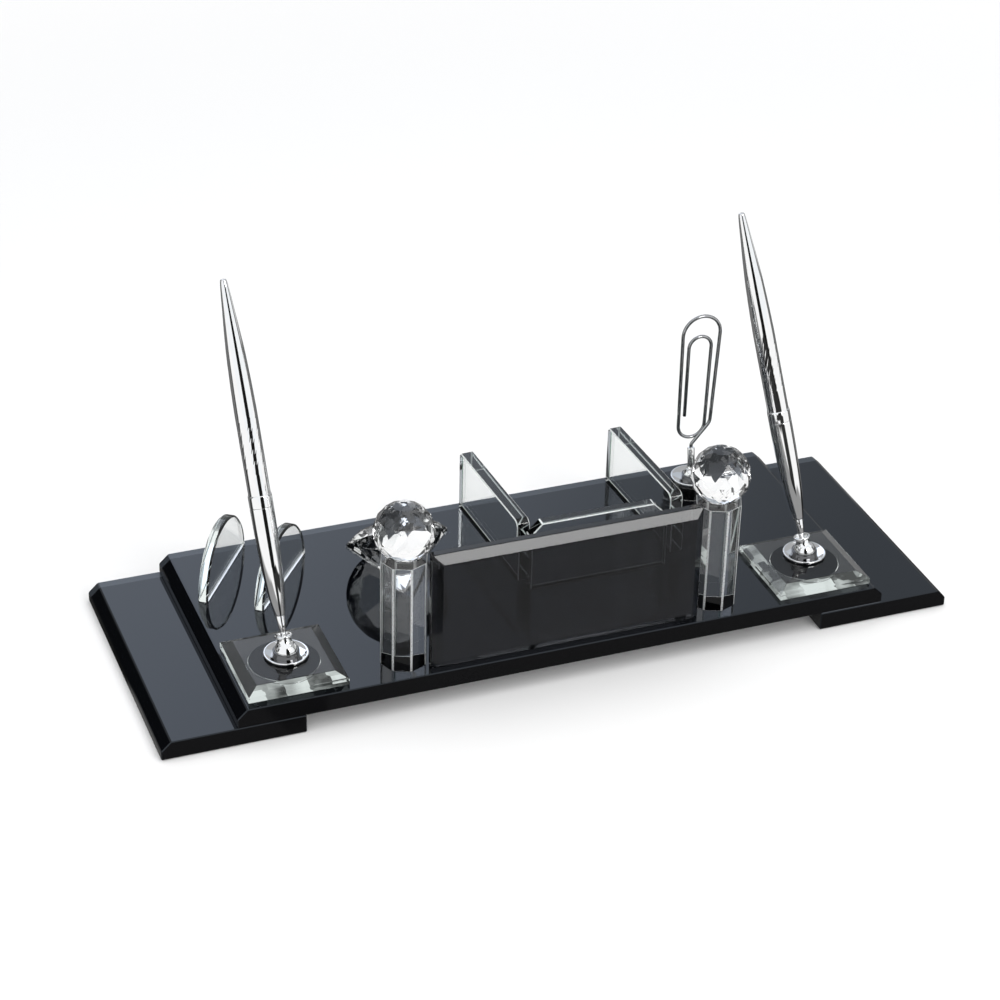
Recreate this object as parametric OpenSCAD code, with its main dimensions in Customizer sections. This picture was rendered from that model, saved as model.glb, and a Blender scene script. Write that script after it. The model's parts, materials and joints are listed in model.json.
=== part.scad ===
// Executive desk set: black glass base plates that carry two swivelling pen
// sockets with pens, a swivelling wire photo clip, a front panel, two
// pillars with faceted balls, a small paper rack, two half-round card
// holders and a cut-gem paperweight. Millimetres, +Z up, origin at the
// centre of the base on the table.

/* [Base plates] */
// Depth of all base plates, front to back
plate_depth = 111.5; // [110:0.5:125]
// Length of the upper plate
upper_length = 260; // [256:1:290]
// Thickness of the upper plate
upper_thick = 7.5; // [5:0.1:12]
// Length over both foot plates, end to end
feet_length = 317.2; // [300:0.5:340]
// Free length between the two foot plates
feet_gap = 208; // [150:1:220]
// Thickness of the foot plates
foot_thick = 7.4; // [5:0.1:12]
// Run of the bevel at the plate ends
end_bevel_run = 3.8; // [2:0.1:6]
// Drop of the bevel at the plate ends
end_bevel_drop = 3.65; // [2:0.1:4.5]

/* [Pen blocks] */
// Side of the square glass block under each pen
block_side = 38.3; // [34:0.1:38.5]
// Height of the glass block
block_high = 4.5; // [4.2:0.1:8]
// Height of its upright edge, below the bevel
block_edge = 2.4; // [1.5:0.1:3.5]
// Width of the bevel, seen from above
block_bevel = 4.2; // [2:0.1:6]
// Diameter of the dark pad under the block
pad_diameter = 26.5; // [20:0.5:30]
// Thickness of the dark pad
pad_thick = 0.6; // [0.4:0.1:1]

/* [Swivel sockets] */
// Diameter of the saucer
saucer_diameter = 16.8; // [15:0.1:20]
// Height of the saucer's rim
saucer_high = 1.3; // [1:0.1:2]
// Radius of the pen cup's ball
cup_ball_radius = 4.4; // [4:0.1:4.6]
// Length of the pen cup above the ball's centre
cup_reach = 6.4; // [6:0.1:8]
// Diameter of the cup's mouth bead
cup_bead_diameter = 6.8; // [6:0.1:8]

/* [Pens] */
// Length of the pen that shows above the cup
pen_shows = 133.5; // [110:0.5:150]
// Largest diameter of the lower barrel
pen_diameter = 8.8; // [8:0.1:10]
// Diameter of the upper barrel at its base
pen_upper_diameter = 8.24; // [7.5:0.02:8.6]
// Lean of the left pen from upright
left_pen_lean = 18.1; // [0:0.1:25]
// Compass of the left pen's lean, counted from +X
left_pen_heading = 100.3; // [60:0.1:150]
// Lean of the right pen from upright
right_pen_lean = 16.1; // [0:0.1:25]
// Compass of the right pen's lean, counted from +X
right_pen_heading = 125.4; // [60:0.1:150]

/* [Front panel] */
// Length of the panel
panel_length = 107.3; // [90:0.1:125]
// Height of the panel
panel_high = 49; // [35:0.5:60]
// Thickness of the panel
panel_thick = 5.2; // [4.5:0.1:5.3]
// Width of the bevel round its front face
panel_bevel = 3.6; // [2:0.1:6]
// Depth of that bevel
panel_bevel_depth = 2.4; // [1:0.1:3]

/* [Pillars and balls] */
// Radius of the octagonal pillar, to its corners
pillar_radius = 9.1; // [7:0.1:9.3]
// Height of the pillar
pillar_high = 44.3; // [35:0.1:55]
// Width of the small flat on each pillar corner
pillar_arris = 0.7; // [0.4:0.1:1]
// Radius of the ball, to the corners of its facets
ball_radius = 11.5; // [9:0.05:12]

/* [Paper rack] */
// Thickness of the two fins
fin_thick = 5.45; // [4:0.05:6]
// Length of the fins
fin_length = 57.9; // [45:0.1:75]
// Height of the fins
fin_high = 25.4; // [18:0.1:35]
// Turn of the fins in plan
fin_turn = 2.6; // [0:0.1:3]
// Length of the small front plate
rack_plate_length = 56.5; // [45:0.1:57]
// Height of the small front plate
rack_plate_high = 27.5; // [20:0.1:35]
// Thickness of the small front plate
rack_plate_thick = 4.5; // [3:0.1:5]
// Cut corner of the small front plate
rack_plate_cut = 5; // [2:0.1:8]

/* [Card holders] */
// Radius of the half-round panes
disc_radius = 22.5; // [18:0.1:23]
// Thickness of the panes
disc_thick = 4; // [3:0.1:5]
// Small bevel along their round edge
disc_bevel = 0.7; // [0.4:0.1:1.2]

/* [Paperweight] */
// Radius of the gem's girdle
gem_radius = 19.9; // [15:0.1:20.5]
// Thickness of the girdle
gem_girdle = 1.2; // [0.8:0.1:2]
// Angle of the gem's lower facets
gem_lower_angle = 40.9; // [38:0.1:43]
// Angle of the gem's upper main facets
gem_upper_angle = 35; // [31:0.5:38]
// Height of the crown above the girdle
gem_crown = 5.2; // [4:0.1:6]

/* [Photo clip] */
// Radius of the round glass puck
puck_radius = 8; // [8:0.1:12]
// Height of the puck
puck_high = 6.4; // [4:0.1:9]
// Radius of the clip's ball
clip_ball_radius = 3.4; // [3:0.1:3.6]
// Diameter of the clip's tube
tube_diameter = 2.9; // [2.6:0.1:3.4]
// Height of the tube's top above the ball's centre
tube_reach = 13; // [10:0.1:16]
// Diameter of the clip wire
wire_diameter = 1.4; // [1:0.1:1.5]
// Height of the loop above the tube
loop_high = 59; // [55:0.1:75]
// Radius of the outer loop
loop_radius = 8.05; // [7.8:0.05:9]
// Lean of the clip's tube from upright, against its heading
clip_lean = 4; // [0:0.5:15]
// Compass of the clip's flat side, from +X
clip_heading = 0; // [-60:1:60]

/* [Hidden] */

// Smoothness of the round surfaces
smooth = 72;
// Smallest overlap that lets a cut run clear of a face
cut = 0.5;
// Running clearance of turning pieces, per side
run_gap = 0.06;
// Clearance of the balls in their seats, per side
seat_gap = 0.05;
// Clearance of fixed pieces in their holes, per side
fit_gap = 0.04;

// Heights of the two plate tops
foot_top = foot_thick;
deck = foot_thick + upper_thick;

// Edges of the deck that the pieces on it are measured from
front_edge = -plate_depth / 2;
back_edge = plate_depth / 2;
left_edge = -upper_length / 2;
right_edge = upper_length / 2;

// Pen blocks from their plate end and the front, sockets from their block
left_block_at = [left_edge + 24.35, front_edge + 22.6];
right_block_at = [right_edge - 23.4, front_edge + 22.4];
left_socket_at = left_block_at + [0.95, 0.5];
right_socket_at = right_block_at + [0.9, 2.25];

// Panel from the front, pillars from the panel's back corners: each keeps
// a clearance from its corner, in the given compass direction
panel_centre_x = -1.4;
panel_front_y = front_edge + 1.1;
panel_back_y = panel_front_y + panel_thick;
left_pillar_clear = 0.93;
right_pillar_clear = 3.59;
left_pillar_at = [panel_centre_x - panel_length / 2, panel_back_y]
  + (pillar_radius + left_pillar_clear) * [cos(138.84), sin(138.84)];
right_pillar_at = [panel_centre_x + panel_length / 2, panel_back_y]
  + (pillar_radius + right_pillar_clear) * [cos(32.94), sin(32.94)];

// Turn of the facets of each ball
left_ball_turn = 11;
right_ball_turn = 22;

// Rack: fins from the back edge, front plate from the fins' front ends
fin_back_gap = 2.7;
rack_plate_clear = 2.76;
left_fin_at = [-6.06, back_edge - fin_back_gap];
right_fin_at = [58.21, back_edge - fin_back_gap];
rack_plate_at = [left_fin_at[0] + 5.16, left_fin_at[1]
  - fin_length * cos(fin_turn) - rack_plate_clear - rack_plate_thick];

// Half-round panes and photo clip from the back edge and the plate's ends
outer_disc_at = [left_edge + 20.1, back_edge - 19.65];
inner_disc_at = [left_edge + 39.7, back_edge - 32.75];
outer_disc_turn = 55.5;
inner_disc_turn = 52.2;
puck_at = [right_edge - 41.9, back_edge - 21.5];
gem_at = [-45.5, 5.65];
gem_turn = -3.6;

// Swivel socket: seat depth, ring walls and hub
pen_ball_rise = 1.7;
clip_ball_rise = 1.5;
ring_wall = 0.55;
ring_above = 0.6;
ring_below = 3.8;
clip_ring_below = 2.9;
hub_wall = 0.6;
hub_floor = 0.5;
dish_lip = 0.5;
dish_floor = 0.65;
ball_flat = 2.4;
clip_ball_flat = 2.2;

// Pen cup bore
cup_bore_radius = 1.35;
cup_mouth_radius = 2.5;
cup_funnel_depth = 2.4;
cup_bore_below = 1.6;
cup_waist_radius = 2.7;
cup_bead_high = 1.1;

// Pen stations along the pen, from its tip
nose_shows = 7.6;
lower_shows = 49;
tip_to_mouth = cup_reach + cup_bore_below;
nose_length = tip_to_mouth + nose_shows;
spigot_length = 5;
seam_at = tip_to_mouth + lower_shows;
seam_length = 5;
upper_at = seam_at + seam_length;
pen_length = tip_to_mouth + pen_shows;
upper_length_pen = pen_length - upper_at;
pen_bore = 2.3;
nose_bore = 1.2;

// Upright prism whose outline is drawn in the plane of the given compass
// direction: it leaves one pair of opposite facets for each sloping side
module facet_prism(outline, turn, size) {
  rotate([0, 0, turn])
    translate([0, size, 0])
      rotate([90, 0, 0])
        linear_extrude(size * 2)
          polygon(outline);
}

// The same outline on the other side of the middle line
function both_sides(points) = concat(points,
  [for (k = [len(points) - 1:-1:0]) [-points[k][0], points[k][1]]]);

// Plate with bevelled ends: end_left and end_right say which ends have one
module bevelled_plate(x_left, x_right, base, thick, end_left, end_right) {
  run_left = end_left ? end_bevel_run : 0;
  run_right = end_right ? end_bevel_run : 0;
  top = base + thick;
  translate([0, plate_depth / 2, 0])
    rotate([90, 0, 0])
      linear_extrude(plate_depth)
        polygon([[x_left, base], [x_right, base],
          [x_right, top - (end_right ? end_bevel_drop : 0)],
          [x_right - run_right, top], [x_left + run_left, top],
          [x_left, top - (end_left ? end_bevel_drop : 0)]]);
}

module left_foot_plate() {
  color("#15161a")
    bevelled_plate(-feet_length / 2, -feet_gap / 2, 0, foot_thick,
      true, false);
}

module right_foot_plate() {
  color("#15161a")
    bevelled_plate(feet_gap / 2, feet_length / 2, 0, foot_thick,
      false, true);
}

module main_plate() {
  color("#1b1d22")
    bevelled_plate(-upper_length / 2, upper_length / 2, foot_top,
      upper_thick, true, true);
}

// Front panel: a pane with a mitred bevel round its front face
module front_panel() {
  half = panel_length / 2;
  back = panel_thick;
  lip = panel_bevel_depth;
  color("#2d2e32")
    translate([panel_centre_x, panel_front_y, deck])
      intersection() {
        linear_extrude(panel_high)
          polygon([[-half, lip], [-half + panel_bevel, 0],
            [half - panel_bevel, 0], [half, lip], [half, back],
            [-half, back]]);
        translate([-half - cut, 0, 0])
          rotate([90, 0, 90])
            linear_extrude(panel_length + cut * 2)
              polygon([[0, panel_bevel], [lip, 0], [back, 0],
                [back, panel_high], [lip, panel_high],
                [0, panel_high - panel_bevel]]);
      }
}

// Octagonal pillar, corner to the front, with a fine flat on each corner
module pillar(at) {
  back_off = pillar_arris / 2;
  side = 2 * pillar_radius * sin(180 / 8);
  share = back_off / side;
  corner = [for (k = [0:7])
    pillar_radius * [cos(k * 45), sin(k * 45)]];
  outline = [for (k = [0:7]) each
    [corner[k] + (corner[(k + 7) % 8] - corner[k]) * share,
     corner[k] + (corner[(k + 1) % 8] - corner[k]) * share]];
  translate([at[0], at[1], deck])
    linear_extrude(pillar_high)
      polygon(outline);
}

module left_pillar() {
  color("#dfe6e8") pillar(left_pillar_at);
}

module right_pillar() {
  color("#dfe6e8") pillar(right_pillar_at);
}

// Faceted crystal ball: rings of corners, turned half a step against each
// other, with three-sided facets between them. Facets over the corners of
// every other ring come from one family of prisms, the rest from the other.
ball_around = 12;
ball_step = 360 / ball_around;
ball_rings = [69, 50, 31, 12, -7, -26, -45, -62, -74];
ball_seat = -ball_radius * sin(ball_rings[len(ball_rings) - 1]);

module faceted_ball(at, turn) {
  size = ball_radius * 1.3;
  translate([at[0], at[1], deck + pillar_high + ball_seat])
    intersection() {
      for_prisms(ball_around, ball_step, turn, ball_outline(0), size);
      for_prisms(ball_around, ball_step, turn + ball_step / 2,
        ball_outline(1), size);
    }
}

// Outline of a ball: a corner on each ring of the given parity and the
// middle of an edge on each ring between
function ball_outline(parity) =
  both_sides([for (k = [0:len(ball_rings) - 1])
    ball_radius * [cos(ball_rings[k])
      * ((k + parity) % 2 == 0 ? cos(ball_step / 2) : 1),
      sin(ball_rings[k])]]);

// What all the prisms of one family have in common
module for_prisms(around, step, start, outline, size) {
  intersection_for(k = [0:around / 2 - 1])
    facet_prism(outline, start + k * step, size);
}

module left_ball() {
  color("#f2f5f6") faceted_ball(left_pillar_at, left_ball_turn);
}

module right_ball() {
  color("#f2f5f6") faceted_ball(right_pillar_at, right_ball_turn);
}

// Fin of the paper rack: an upright pane with two rounded top corners
module rack_fin(at) {
  front_round = 3.2;
  back_round = 2;
  translate([at[0], at[1], deck])
    rotate([0, 0, fin_turn])
      rotate([90, 0, 90])
        linear_extrude(fin_thick)
          union() {
            translate([-fin_length, 0])
              square([fin_length, fin_high - front_round]);
            translate([-fin_length + front_round, 0])
              square([fin_length - front_round - back_round, fin_high]);
            translate([-back_round - cut, 0])
              square([back_round + cut, fin_high - back_round]);
            translate([-fin_length + front_round, fin_high - front_round])
              circle(front_round, $fn = smooth);
            translate([-back_round, fin_high - back_round])
              circle(back_round, $fn = smooth);
          }
}

module rack_left_fin() {
  color("#c9d6d6") rack_fin(left_fin_at);
}

module rack_right_fin() {
  color("#c9d6d6") rack_fin(right_fin_at);
}

module rack_front_plate() {
  far = rack_plate_length;
  color("#c9d6d6")
    translate([rack_plate_at[0], rack_plate_at[1] + rack_plate_thick, deck])
      rotate([90, 0, 0])
        linear_extrude(rack_plate_thick)
          polygon([[0, 0], [far, 0], [far, rack_plate_high - rack_plate_cut],
            [far - rack_plate_cut, rack_plate_high],
            [rack_plate_cut, rack_plate_high],
            [0, rack_plate_high - rack_plate_cut]]);
}

// Half-round pane that stands on its flat
module card_disc(at, turn) {
  half = disc_thick / 2;
  translate([at[0], at[1], deck])
    rotate([90, 0, turn])
      rotate_extrude(angle = 180, $fn = smooth * 2)
        polygon([[0, -half], [disc_radius - disc_bevel, -half],
          [disc_radius, -half + disc_bevel],
          [disc_radius, half - disc_bevel],
          [disc_radius - disc_bevel, half], [0, half]]);
}

module outer_card_disc() {
  color("#dce8e6") card_disc(outer_disc_at, outer_disc_turn);
}

module inner_card_disc() {
  color("#dce8e6") card_disc(inner_disc_at, inner_disc_turn);
}

// Brilliant-cut gem, point down at the origin. Three families of prisms
// leave the mains, the halves and the stars on a round blank.
module brilliant() {
  depth = gem_radius * tan(gem_lower_angle);
  belt = depth + gem_girdle;
  table = belt + gem_crown;
  size = gem_radius * 1.3;
  point = 0.25;
  half_out = gem_radius * cos(11.25);
  half_low = gem_lower_angle + 1.3;
  half_high = gem_upper_angle + 6;
  star_slope = gem_upper_angle - 13;
  star_rise = gem_crown * 0.62;
  star_out = gem_radius - star_rise / tan(gem_upper_angle + 1.5);
  main_line = gem_line(gem_radius, gem_lower_angle, gem_upper_angle,
    depth, belt, table);
  half_line = gem_line(half_out, half_low, half_high, depth, belt, table);
  intersection() {
    translate([0, 0, point * sin(gem_lower_angle)])
      cylinder(h = table, r = gem_radius, $fn = smooth * 2);
    for_prisms(8, 45, 0, main_line, size);
    for_prisms(16, 22.5, 11.25, half_line, size);
    for_prisms(8, 45, 22.5,
      both_sides([[size, -point],
        [size, belt + star_rise - (size - star_out) * tan(star_slope)],
        [star_out - (table - belt - star_rise) / tan(star_slope), table]]),
      size);
  }
}

// Outline of a gem between its lower and upper slopes, which pass through
// the girdle's lower and upper edge at the given radius
function gem_line(out, low, high, depth, belt, table) =
  let (over = (belt - depth) / (tan(low) + tan(high)))
  both_sides([[0.001, depth - (out - 0.001) * tan(low)],
    [out + over, depth + over * tan(low)],
    [out - (table - belt) / tan(high), table]]);

module paperweight() {
  color("#eef3f4")
    translate([gem_at[0], gem_at[1], deck])
      rotate([0, 0, gem_turn])
        rotate([-gem_lower_angle, 0, 0])
          brilliant();
}

// Bore radius of a saucer for a swivel ring that holds a ball
function ring_outer(ball) = ball + seat_gap + ring_wall;
function hub_outer(ball) = ring_outer(ball) + run_gap + hub_wall;
function hub_depth(rise, below) = below - rise + hub_floor;

// Square glass block with a mitred bevel on all four sides, a well for the
// socket's hub and a recess for the pad
module pen_block(block_at, socket_at) {
  half = block_side / 2;
  inner = half - block_bevel;
  outline = [[-half, 0], [half, 0], [half, block_edge],
    [inner, block_high], [-inner, block_high], [-half, block_edge]];
  translate([0, 0, deck])
    difference() {
      translate([block_at[0], block_at[1], 0])
        intersection() {
          translate([0, half + cut, 0])
            rotate([90, 0, 0])
              linear_extrude(block_side + cut * 2) polygon(outline);
          translate([-half - cut, 0, 0])
            rotate([90, 0, 90])
              linear_extrude(block_side + cut * 2) polygon(outline);
        }
      translate([block_at[0], block_at[1], -cut])
        cylinder(h = pad_thick + cut, r = pad_diameter / 2 + fit_gap,
          $fn = smooth);
      socket_well(socket_at, block_high, cup_ball_radius, pen_ball_rise,
        ring_below);
    }
}

// The well that a socket's hub goes into, cut down from the given height
module socket_well(at, high, ball, rise, below) {
  translate([at[0], at[1], high - hub_depth(rise, below)])
    cylinder(h = hub_depth(rise, below) + cut, r = hub_outer(ball) + fit_gap,
      $fn = smooth);
}

module block_pad(at, radius) {
  translate([at[0], at[1], deck])
    cylinder(h = pad_thick, r = radius, $fn = smooth);
}

module left_pen_block() {
  color("#d6e6e2") pen_block(left_block_at, left_socket_at);
}

module left_block_pad() {
  color("#202226") block_pad(left_block_at, pad_diameter / 2);
}

module right_pen_block() {
  color("#d6e6e2") pen_block(right_block_at, right_socket_at);
}

module right_block_pad() {
  color("#202226") block_pad(right_block_at, pad_diameter / 2);
}

// Saucer with a hub: the hub's bore takes the swivel ring
module saucer(at, high, ball, rise, below) {
  rim = saucer_diameter / 2;
  bore = ring_outer(ball) + run_gap;
  hub = hub_outer(ball);
  deep = hub_depth(rise, below);
  sweep = [for (k = [0:8])
    [bore + dish_lip + (rim - bore - dish_lip - 0.35) * sin(k * 11.25),
     dish_floor + (saucer_high - dish_floor) * (1 - cos(k * 11.25))]];
  translate([at[0], at[1], deck + high])
    rotate_extrude($fn = smooth)
      polygon(concat(
        [[0, -deep], [hub, -deep], [hub, 0], [rim - 0.7, 0],
         [rim, saucer_high * 0.45], [rim, saucer_high * 0.85],
         [rim - 0.12, saucer_high]],
        [for (k = [8:-1:0]) sweep[k]],
        [[bore, dish_floor], [bore, hub_floor - deep],
         [0, hub_floor - deep]]));
}

// Ring that turns in the saucer and holds the ball in a spherical seat
module swivel_ring(at, high, ball, rise, below) {
  outer = ring_outer(ball);
  translate([at[0], at[1], deck + high + rise])
    difference() {
      union() {
        translate([0, 0, -below])
          cylinder(h = below + ring_above - 0.3, r = outer, $fn = smooth);
        translate([0, 0, ring_above - 0.3])
          cylinder(h = 0.3, r1 = outer, r2 = outer - 0.25, $fn = smooth);
      }
      sphere(ball + seat_gap, $fn = smooth);
      translate([0, 0, -below - cut])
        cylinder(h = below, r = ball * 0.5, $fn = smooth);
    }
}

module left_saucer() {
  color("#d8dadc")
    saucer(left_socket_at, block_high, cup_ball_radius, pen_ball_rise,
      ring_below);
}

module right_saucer() {
  color("#d8dadc")
    saucer(right_socket_at, block_high, cup_ball_radius, pen_ball_rise,
      ring_below);
}

module left_swivel_ring() {
  color("#b9bcc0")
    swivel_ring(left_socket_at, block_high, cup_ball_radius, pen_ball_rise,
      ring_below);
}

module right_swivel_ring() {
  color("#b9bcc0")
    swivel_ring(right_socket_at, block_high, cup_ball_radius,
      pen_ball_rise, ring_below);
}

// Puts its children in a frame whose origin is a socket's ball centre and
// whose +Z leans from upright by lean towards the compass heading
module leaning(at, height, lean, heading) {
  translate([at[0], at[1], deck + height])
    rotate([0, 0, heading])
      rotate([0, lean, 0])
        rotate([0, 0, -heading])
          children();
}

module at_left_pen() {
  leaning(left_socket_at, block_high + pen_ball_rise, left_pen_lean,
    left_pen_heading)
    children();
}

module at_right_pen() {
  leaning(right_socket_at, block_high + pen_ball_rise, right_pen_lean,
    right_pen_heading)
    children();
}

// Pen cup: a ball with a flared neck, a mouth bead and a stepped bore
module cup() {
  bead = cup_bead_diameter / 2;
  base = cup_reach - cup_bead_high;
  foot = 3.1;
  foot_radius = sqrt(cup_ball_radius ^ 2 - foot ^ 2);
  band = 0.15;
  flare = [for (k = [0:6])
    [cup_waist_radius + (foot_radius - cup_waist_radius)
       * (1 - sin(k * 15)),
     foot + band + (base - foot - band) * 0.9 * (1 - cos(k * 15))]];
  difference() {
    union() {
      intersection() {
        sphere(cup_ball_radius, $fn = smooth);
        translate([0, 0, -ball_flat])
          cylinder(h = ball_flat * 4, r = cup_ball_radius * 2,
            $fn = smooth);
      }
      rotate_extrude($fn = smooth)
        polygon(concat([[0, foot - 1], [foot_radius, foot - 1]], flare,
          [[cup_waist_radius, base], [bead - 0.35, base],
           [bead, base + 0.35], [bead, cup_reach - 0.35],
           [bead - 0.35, cup_reach], [0, cup_reach]]));
    }
    rotate_extrude($fn = smooth)
      polygon([[0, -cup_bore_below], [cup_bore_radius, -cup_bore_below],
        [cup_bore_radius, cup_reach - cup_funnel_depth],
        [cup_mouth_radius, cup_reach], [cup_mouth_radius, cup_reach + cut],
        [0, cup_reach + cut]]);
  }
}

// The four turned pieces of a pen, standing on the pen's tip
module pen_nose() {
  rotate_extrude($fn = smooth)
    polygon([[0, 0], [0.35, 0], [0.75, 1], [1, 1.6],
      [1.12, tip_to_mouth], [1.3, tip_to_mouth + 1.5],
      [1.75, nose_length], [nose_bore, nose_length],
      [nose_bore, nose_length + spigot_length],
      [0, nose_length + spigot_length]]);
}

module pen_lower_barrel() {
  top = pen_diameter / 2;
  end = nose_length;
  span = seam_at - nose_length;
  bore = nose_bore + fit_gap;
  rotate_extrude($fn = smooth)
    polygon([[bore, end], [top * 0.46, end], [top * 0.49, end + 0.3],
      [top * 0.6, end + span * 0.09], [top * 0.7, end + span * 0.18],
      [top * 0.79, end + span * 0.28], [top * 0.86, end + span * 0.38],
      [top * 0.92, end + span * 0.5], [top * 0.96, end + span * 0.64],
      [top * 0.99, end + span * 0.82], [top, seam_at],
      [pen_bore, seam_at], [pen_bore, nose_length + spigot_length + 1.6],
      [bore, nose_length + spigot_length + 0.6]]);
}

module pen_seam_ring() {
  outer = pen_diameter / 2;
  groove = 0.18;
  far = upper_at;
  rotate_extrude($fn = smooth)
    polygon([[pen_bore, seam_at], [outer - groove, seam_at],
      [outer - groove, seam_at + 0.35], [outer, seam_at + 0.5],
      [outer, far - 0.9], [outer - 0.12, far - 0.2], [outer - 0.3, far],
      [pen_bore, far]]);
}

module pen_upper_barrel() {
  base = pen_upper_diameter / 2;
  long = upper_length_pen;
  bore_top = upper_at + long * 0.6;
  rotate_extrude($fn = smooth)
    polygon([[pen_bore, upper_at], [base, upper_at],
      [base, upper_at + long * 0.39], [base * 0.96, upper_at + long * 0.487],
      [base * 0.9, upper_at + long * 0.579],
      [base * 0.82, upper_at + long * 0.673],
      [base * 0.725, upper_at + long * 0.742],
      [base * 0.62, upper_at + long * 0.811],
      [base * 0.545, upper_at + long * 0.855],
      [base * 0.435, upper_at + long * 0.925],
      [base * 0.365, upper_at + long * 0.965],
      [base * 0.315, pen_length - 0.9], [base * 0.26, pen_length - 0.3],
      [base * 0.16, pen_length], [0, pen_length], [0, bore_top + 1.2],
      [pen_bore, bore_top]]);
}

module left_cup() {
  color("#d8dadc") at_left_pen() cup();
}

module left_pen_nose() {
  color("#c9cccf") at_left_pen() translate([0, 0, -cup_bore_below])
    pen_nose();
}

module left_lower_barrel() {
  color("#dcdee0") at_left_pen() translate([0, 0, -cup_bore_below])
    pen_lower_barrel();
}

module left_seam_ring() {
  color("#bfc2c6") at_left_pen() translate([0, 0, -cup_bore_below])
    pen_seam_ring();
}

module left_upper_barrel() {
  color("#dcdee0") at_left_pen() translate([0, 0, -cup_bore_below])
    pen_upper_barrel();
}

module right_cup() {
  color("#d8dadc") at_right_pen() cup();
}

module right_pen_nose() {
  color("#c9cccf") at_right_pen() translate([0, 0, -cup_bore_below])
    pen_nose();
}

module right_lower_barrel() {
  color("#dcdee0") at_right_pen() translate([0, 0, -cup_bore_below])
    pen_lower_barrel();
}

module right_seam_ring() {
  color("#bfc2c6") at_right_pen() translate([0, 0, -cup_bore_below])
    pen_seam_ring();
}

module right_upper_barrel() {
  color("#dcdee0") at_right_pen() translate([0, 0, -cup_bore_below])
    pen_upper_barrel();
}

// Photo clip: puck, saucer, ring, ball, tube and wire
module clip_puck() {
  bevel = 1;
  color("#9fb0b2")
    translate([0, 0, deck])
      difference() {
        translate([puck_at[0], puck_at[1], 0])
          rotate_extrude($fn = smooth * 2)
            polygon([[0, 0], [puck_radius, 0],
              [puck_radius, puck_high - bevel],
              [puck_radius - bevel, puck_high], [0, puck_high]]);
        socket_well(puck_at, puck_high, clip_ball_radius, clip_ball_rise,
          clip_ring_below);
      }
}

module clip_saucer() {
  color("#d8dadc")
    saucer(puck_at, puck_high, clip_ball_radius, clip_ball_rise,
      clip_ring_below);
}

module clip_swivel_ring() {
  color("#b9bcc0")
    swivel_ring(puck_at, puck_high, clip_ball_radius, clip_ball_rise,
      clip_ring_below);
}

module at_clip() {
  leaning(puck_at, puck_high + clip_ball_rise, -clip_lean, clip_heading)
    rotate([0, 0, clip_heading])
      children();
}

module clip_ball() {
  spigot = tube_diameter / 2 - 0.7;
  color("#d8dadc")
    at_clip()
      union() {
        intersection() {
          sphere(clip_ball_radius, $fn = smooth);
          translate([0, 0, -clip_ball_flat])
            cylinder(h = clip_ball_flat * 2.4, r = clip_ball_radius * 2,
              $fn = smooth);
        }
        cylinder(h = clip_ball_radius + 1.4, r = spigot, $fn = smooth);
      }
}

module clip_tube() {
  outer = tube_diameter / 2;
  base = clip_ball_flat * 1.4;
  bead = 0.35;
  color("#c9cccf")
    at_clip()
      difference() {
        rotate_extrude($fn = smooth)
          polygon([[0, base], [outer + bead, base],
            [outer + bead, base + 0.7], [outer, base + 1.2],
            [outer, tube_reach - 0.5], [outer - 0.3, tube_reach],
            [0, tube_reach]]);
        translate([0, 0, base - cut])
          cylinder(h = clip_ball_radius + 1.5 - base + cut,
            r = outer - 0.7 + fit_gap, $fn = smooth);
        translate([0, 0, tube_reach - 5])
          cylinder(h = 5 + cut, r = wire_diameter / 2 + fit_gap,
            $fn = smooth);
      }
}

// Straight piece of wire between two points
module wire_run(from, to) {
  way = to - from;
  long = norm(way);
  translate(from)
    rotate([0, acos(way[2] / long), atan2(way[1], way[0])])
      cylinder(h = long, r = wire_diameter / 2, $fn = smooth / 3);
}

// Bend of wire in the clip's flat: centre, radius, start and sweep
module wire_bend(centre, radius, start, sweep) {
  translate(centre)
    rotate([90, 0, 0])
      rotate([0, 0, start])
        rotate_extrude(angle = sweep, $fn = smooth)
          translate([radius, 0])
            circle(wire_diameter / 2, $fn = smooth / 3);
}

// The wire comes out of the tube, is bent upright again and runs up the
// right side, over the outer loop, down into the back layer, round the
// bottom and over the inner loop
module clip_wire() {
  knuckle = wire_diameter / 2 + 0.04;
  bend_at = 0.4;
  loop_bend = 4;
  color("#c4c7ca")
    at_clip()
      translate([0, 0, tube_reach + bend_at])
        union() {
          wire_run([0, 0, -4.9 - bend_at], [0, 0, 0]);
          sphere(knuckle, $fn = smooth / 3);
          rotate([0, loop_bend, 0]) clip_loops(knuckle);
        }
}

module clip_loops(knuckle) {
  back = wire_diameter + 0.5;
  top = loop_high - loop_radius;
  outer_side = 1.45;
  inner_side = 2.03;
  inner = 4.85;
  inner_top = top - 6.85;
  low_side = 0.38;
  low = 5.75;
  low_top = 9.2;
  knee = [0, 0, 1.2];
  elbow = [7.6, 0, 10.2];
  outer_right = [outer_side + loop_radius, 0, top];
  outer_left = [outer_side - loop_radius, 0, top];
  low_left = [low_side - low, back, low_top];
  low_right = [low_side + low, back, low_top];
  inner_right = [inner_side + inner, back, inner_top];
  inner_left = [inner_side - inner, back, inner_top];
  wire_run([0, 0, 0], knee);
  wire_run(knee, elbow);
  wire_run(elbow, outer_right);
  wire_bend([outer_side, 0, top], loop_radius, 0, 180);
  wire_run(outer_left, low_left);
  wire_bend([low_side, back, low_top], low, 180, 180);
  wire_run(low_right, inner_right);
  wire_bend([inner_side, back, inner_top], inner, 0, 180);
  wire_run(inner_left, inner_left - [0.1, 0, 30.5]);
  for (at = [knee, elbow, outer_right, outer_left, low_left, low_right,
      inner_right, inner_left])
    translate(at) sphere(knuckle, $fn = smooth / 3);
}

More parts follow.
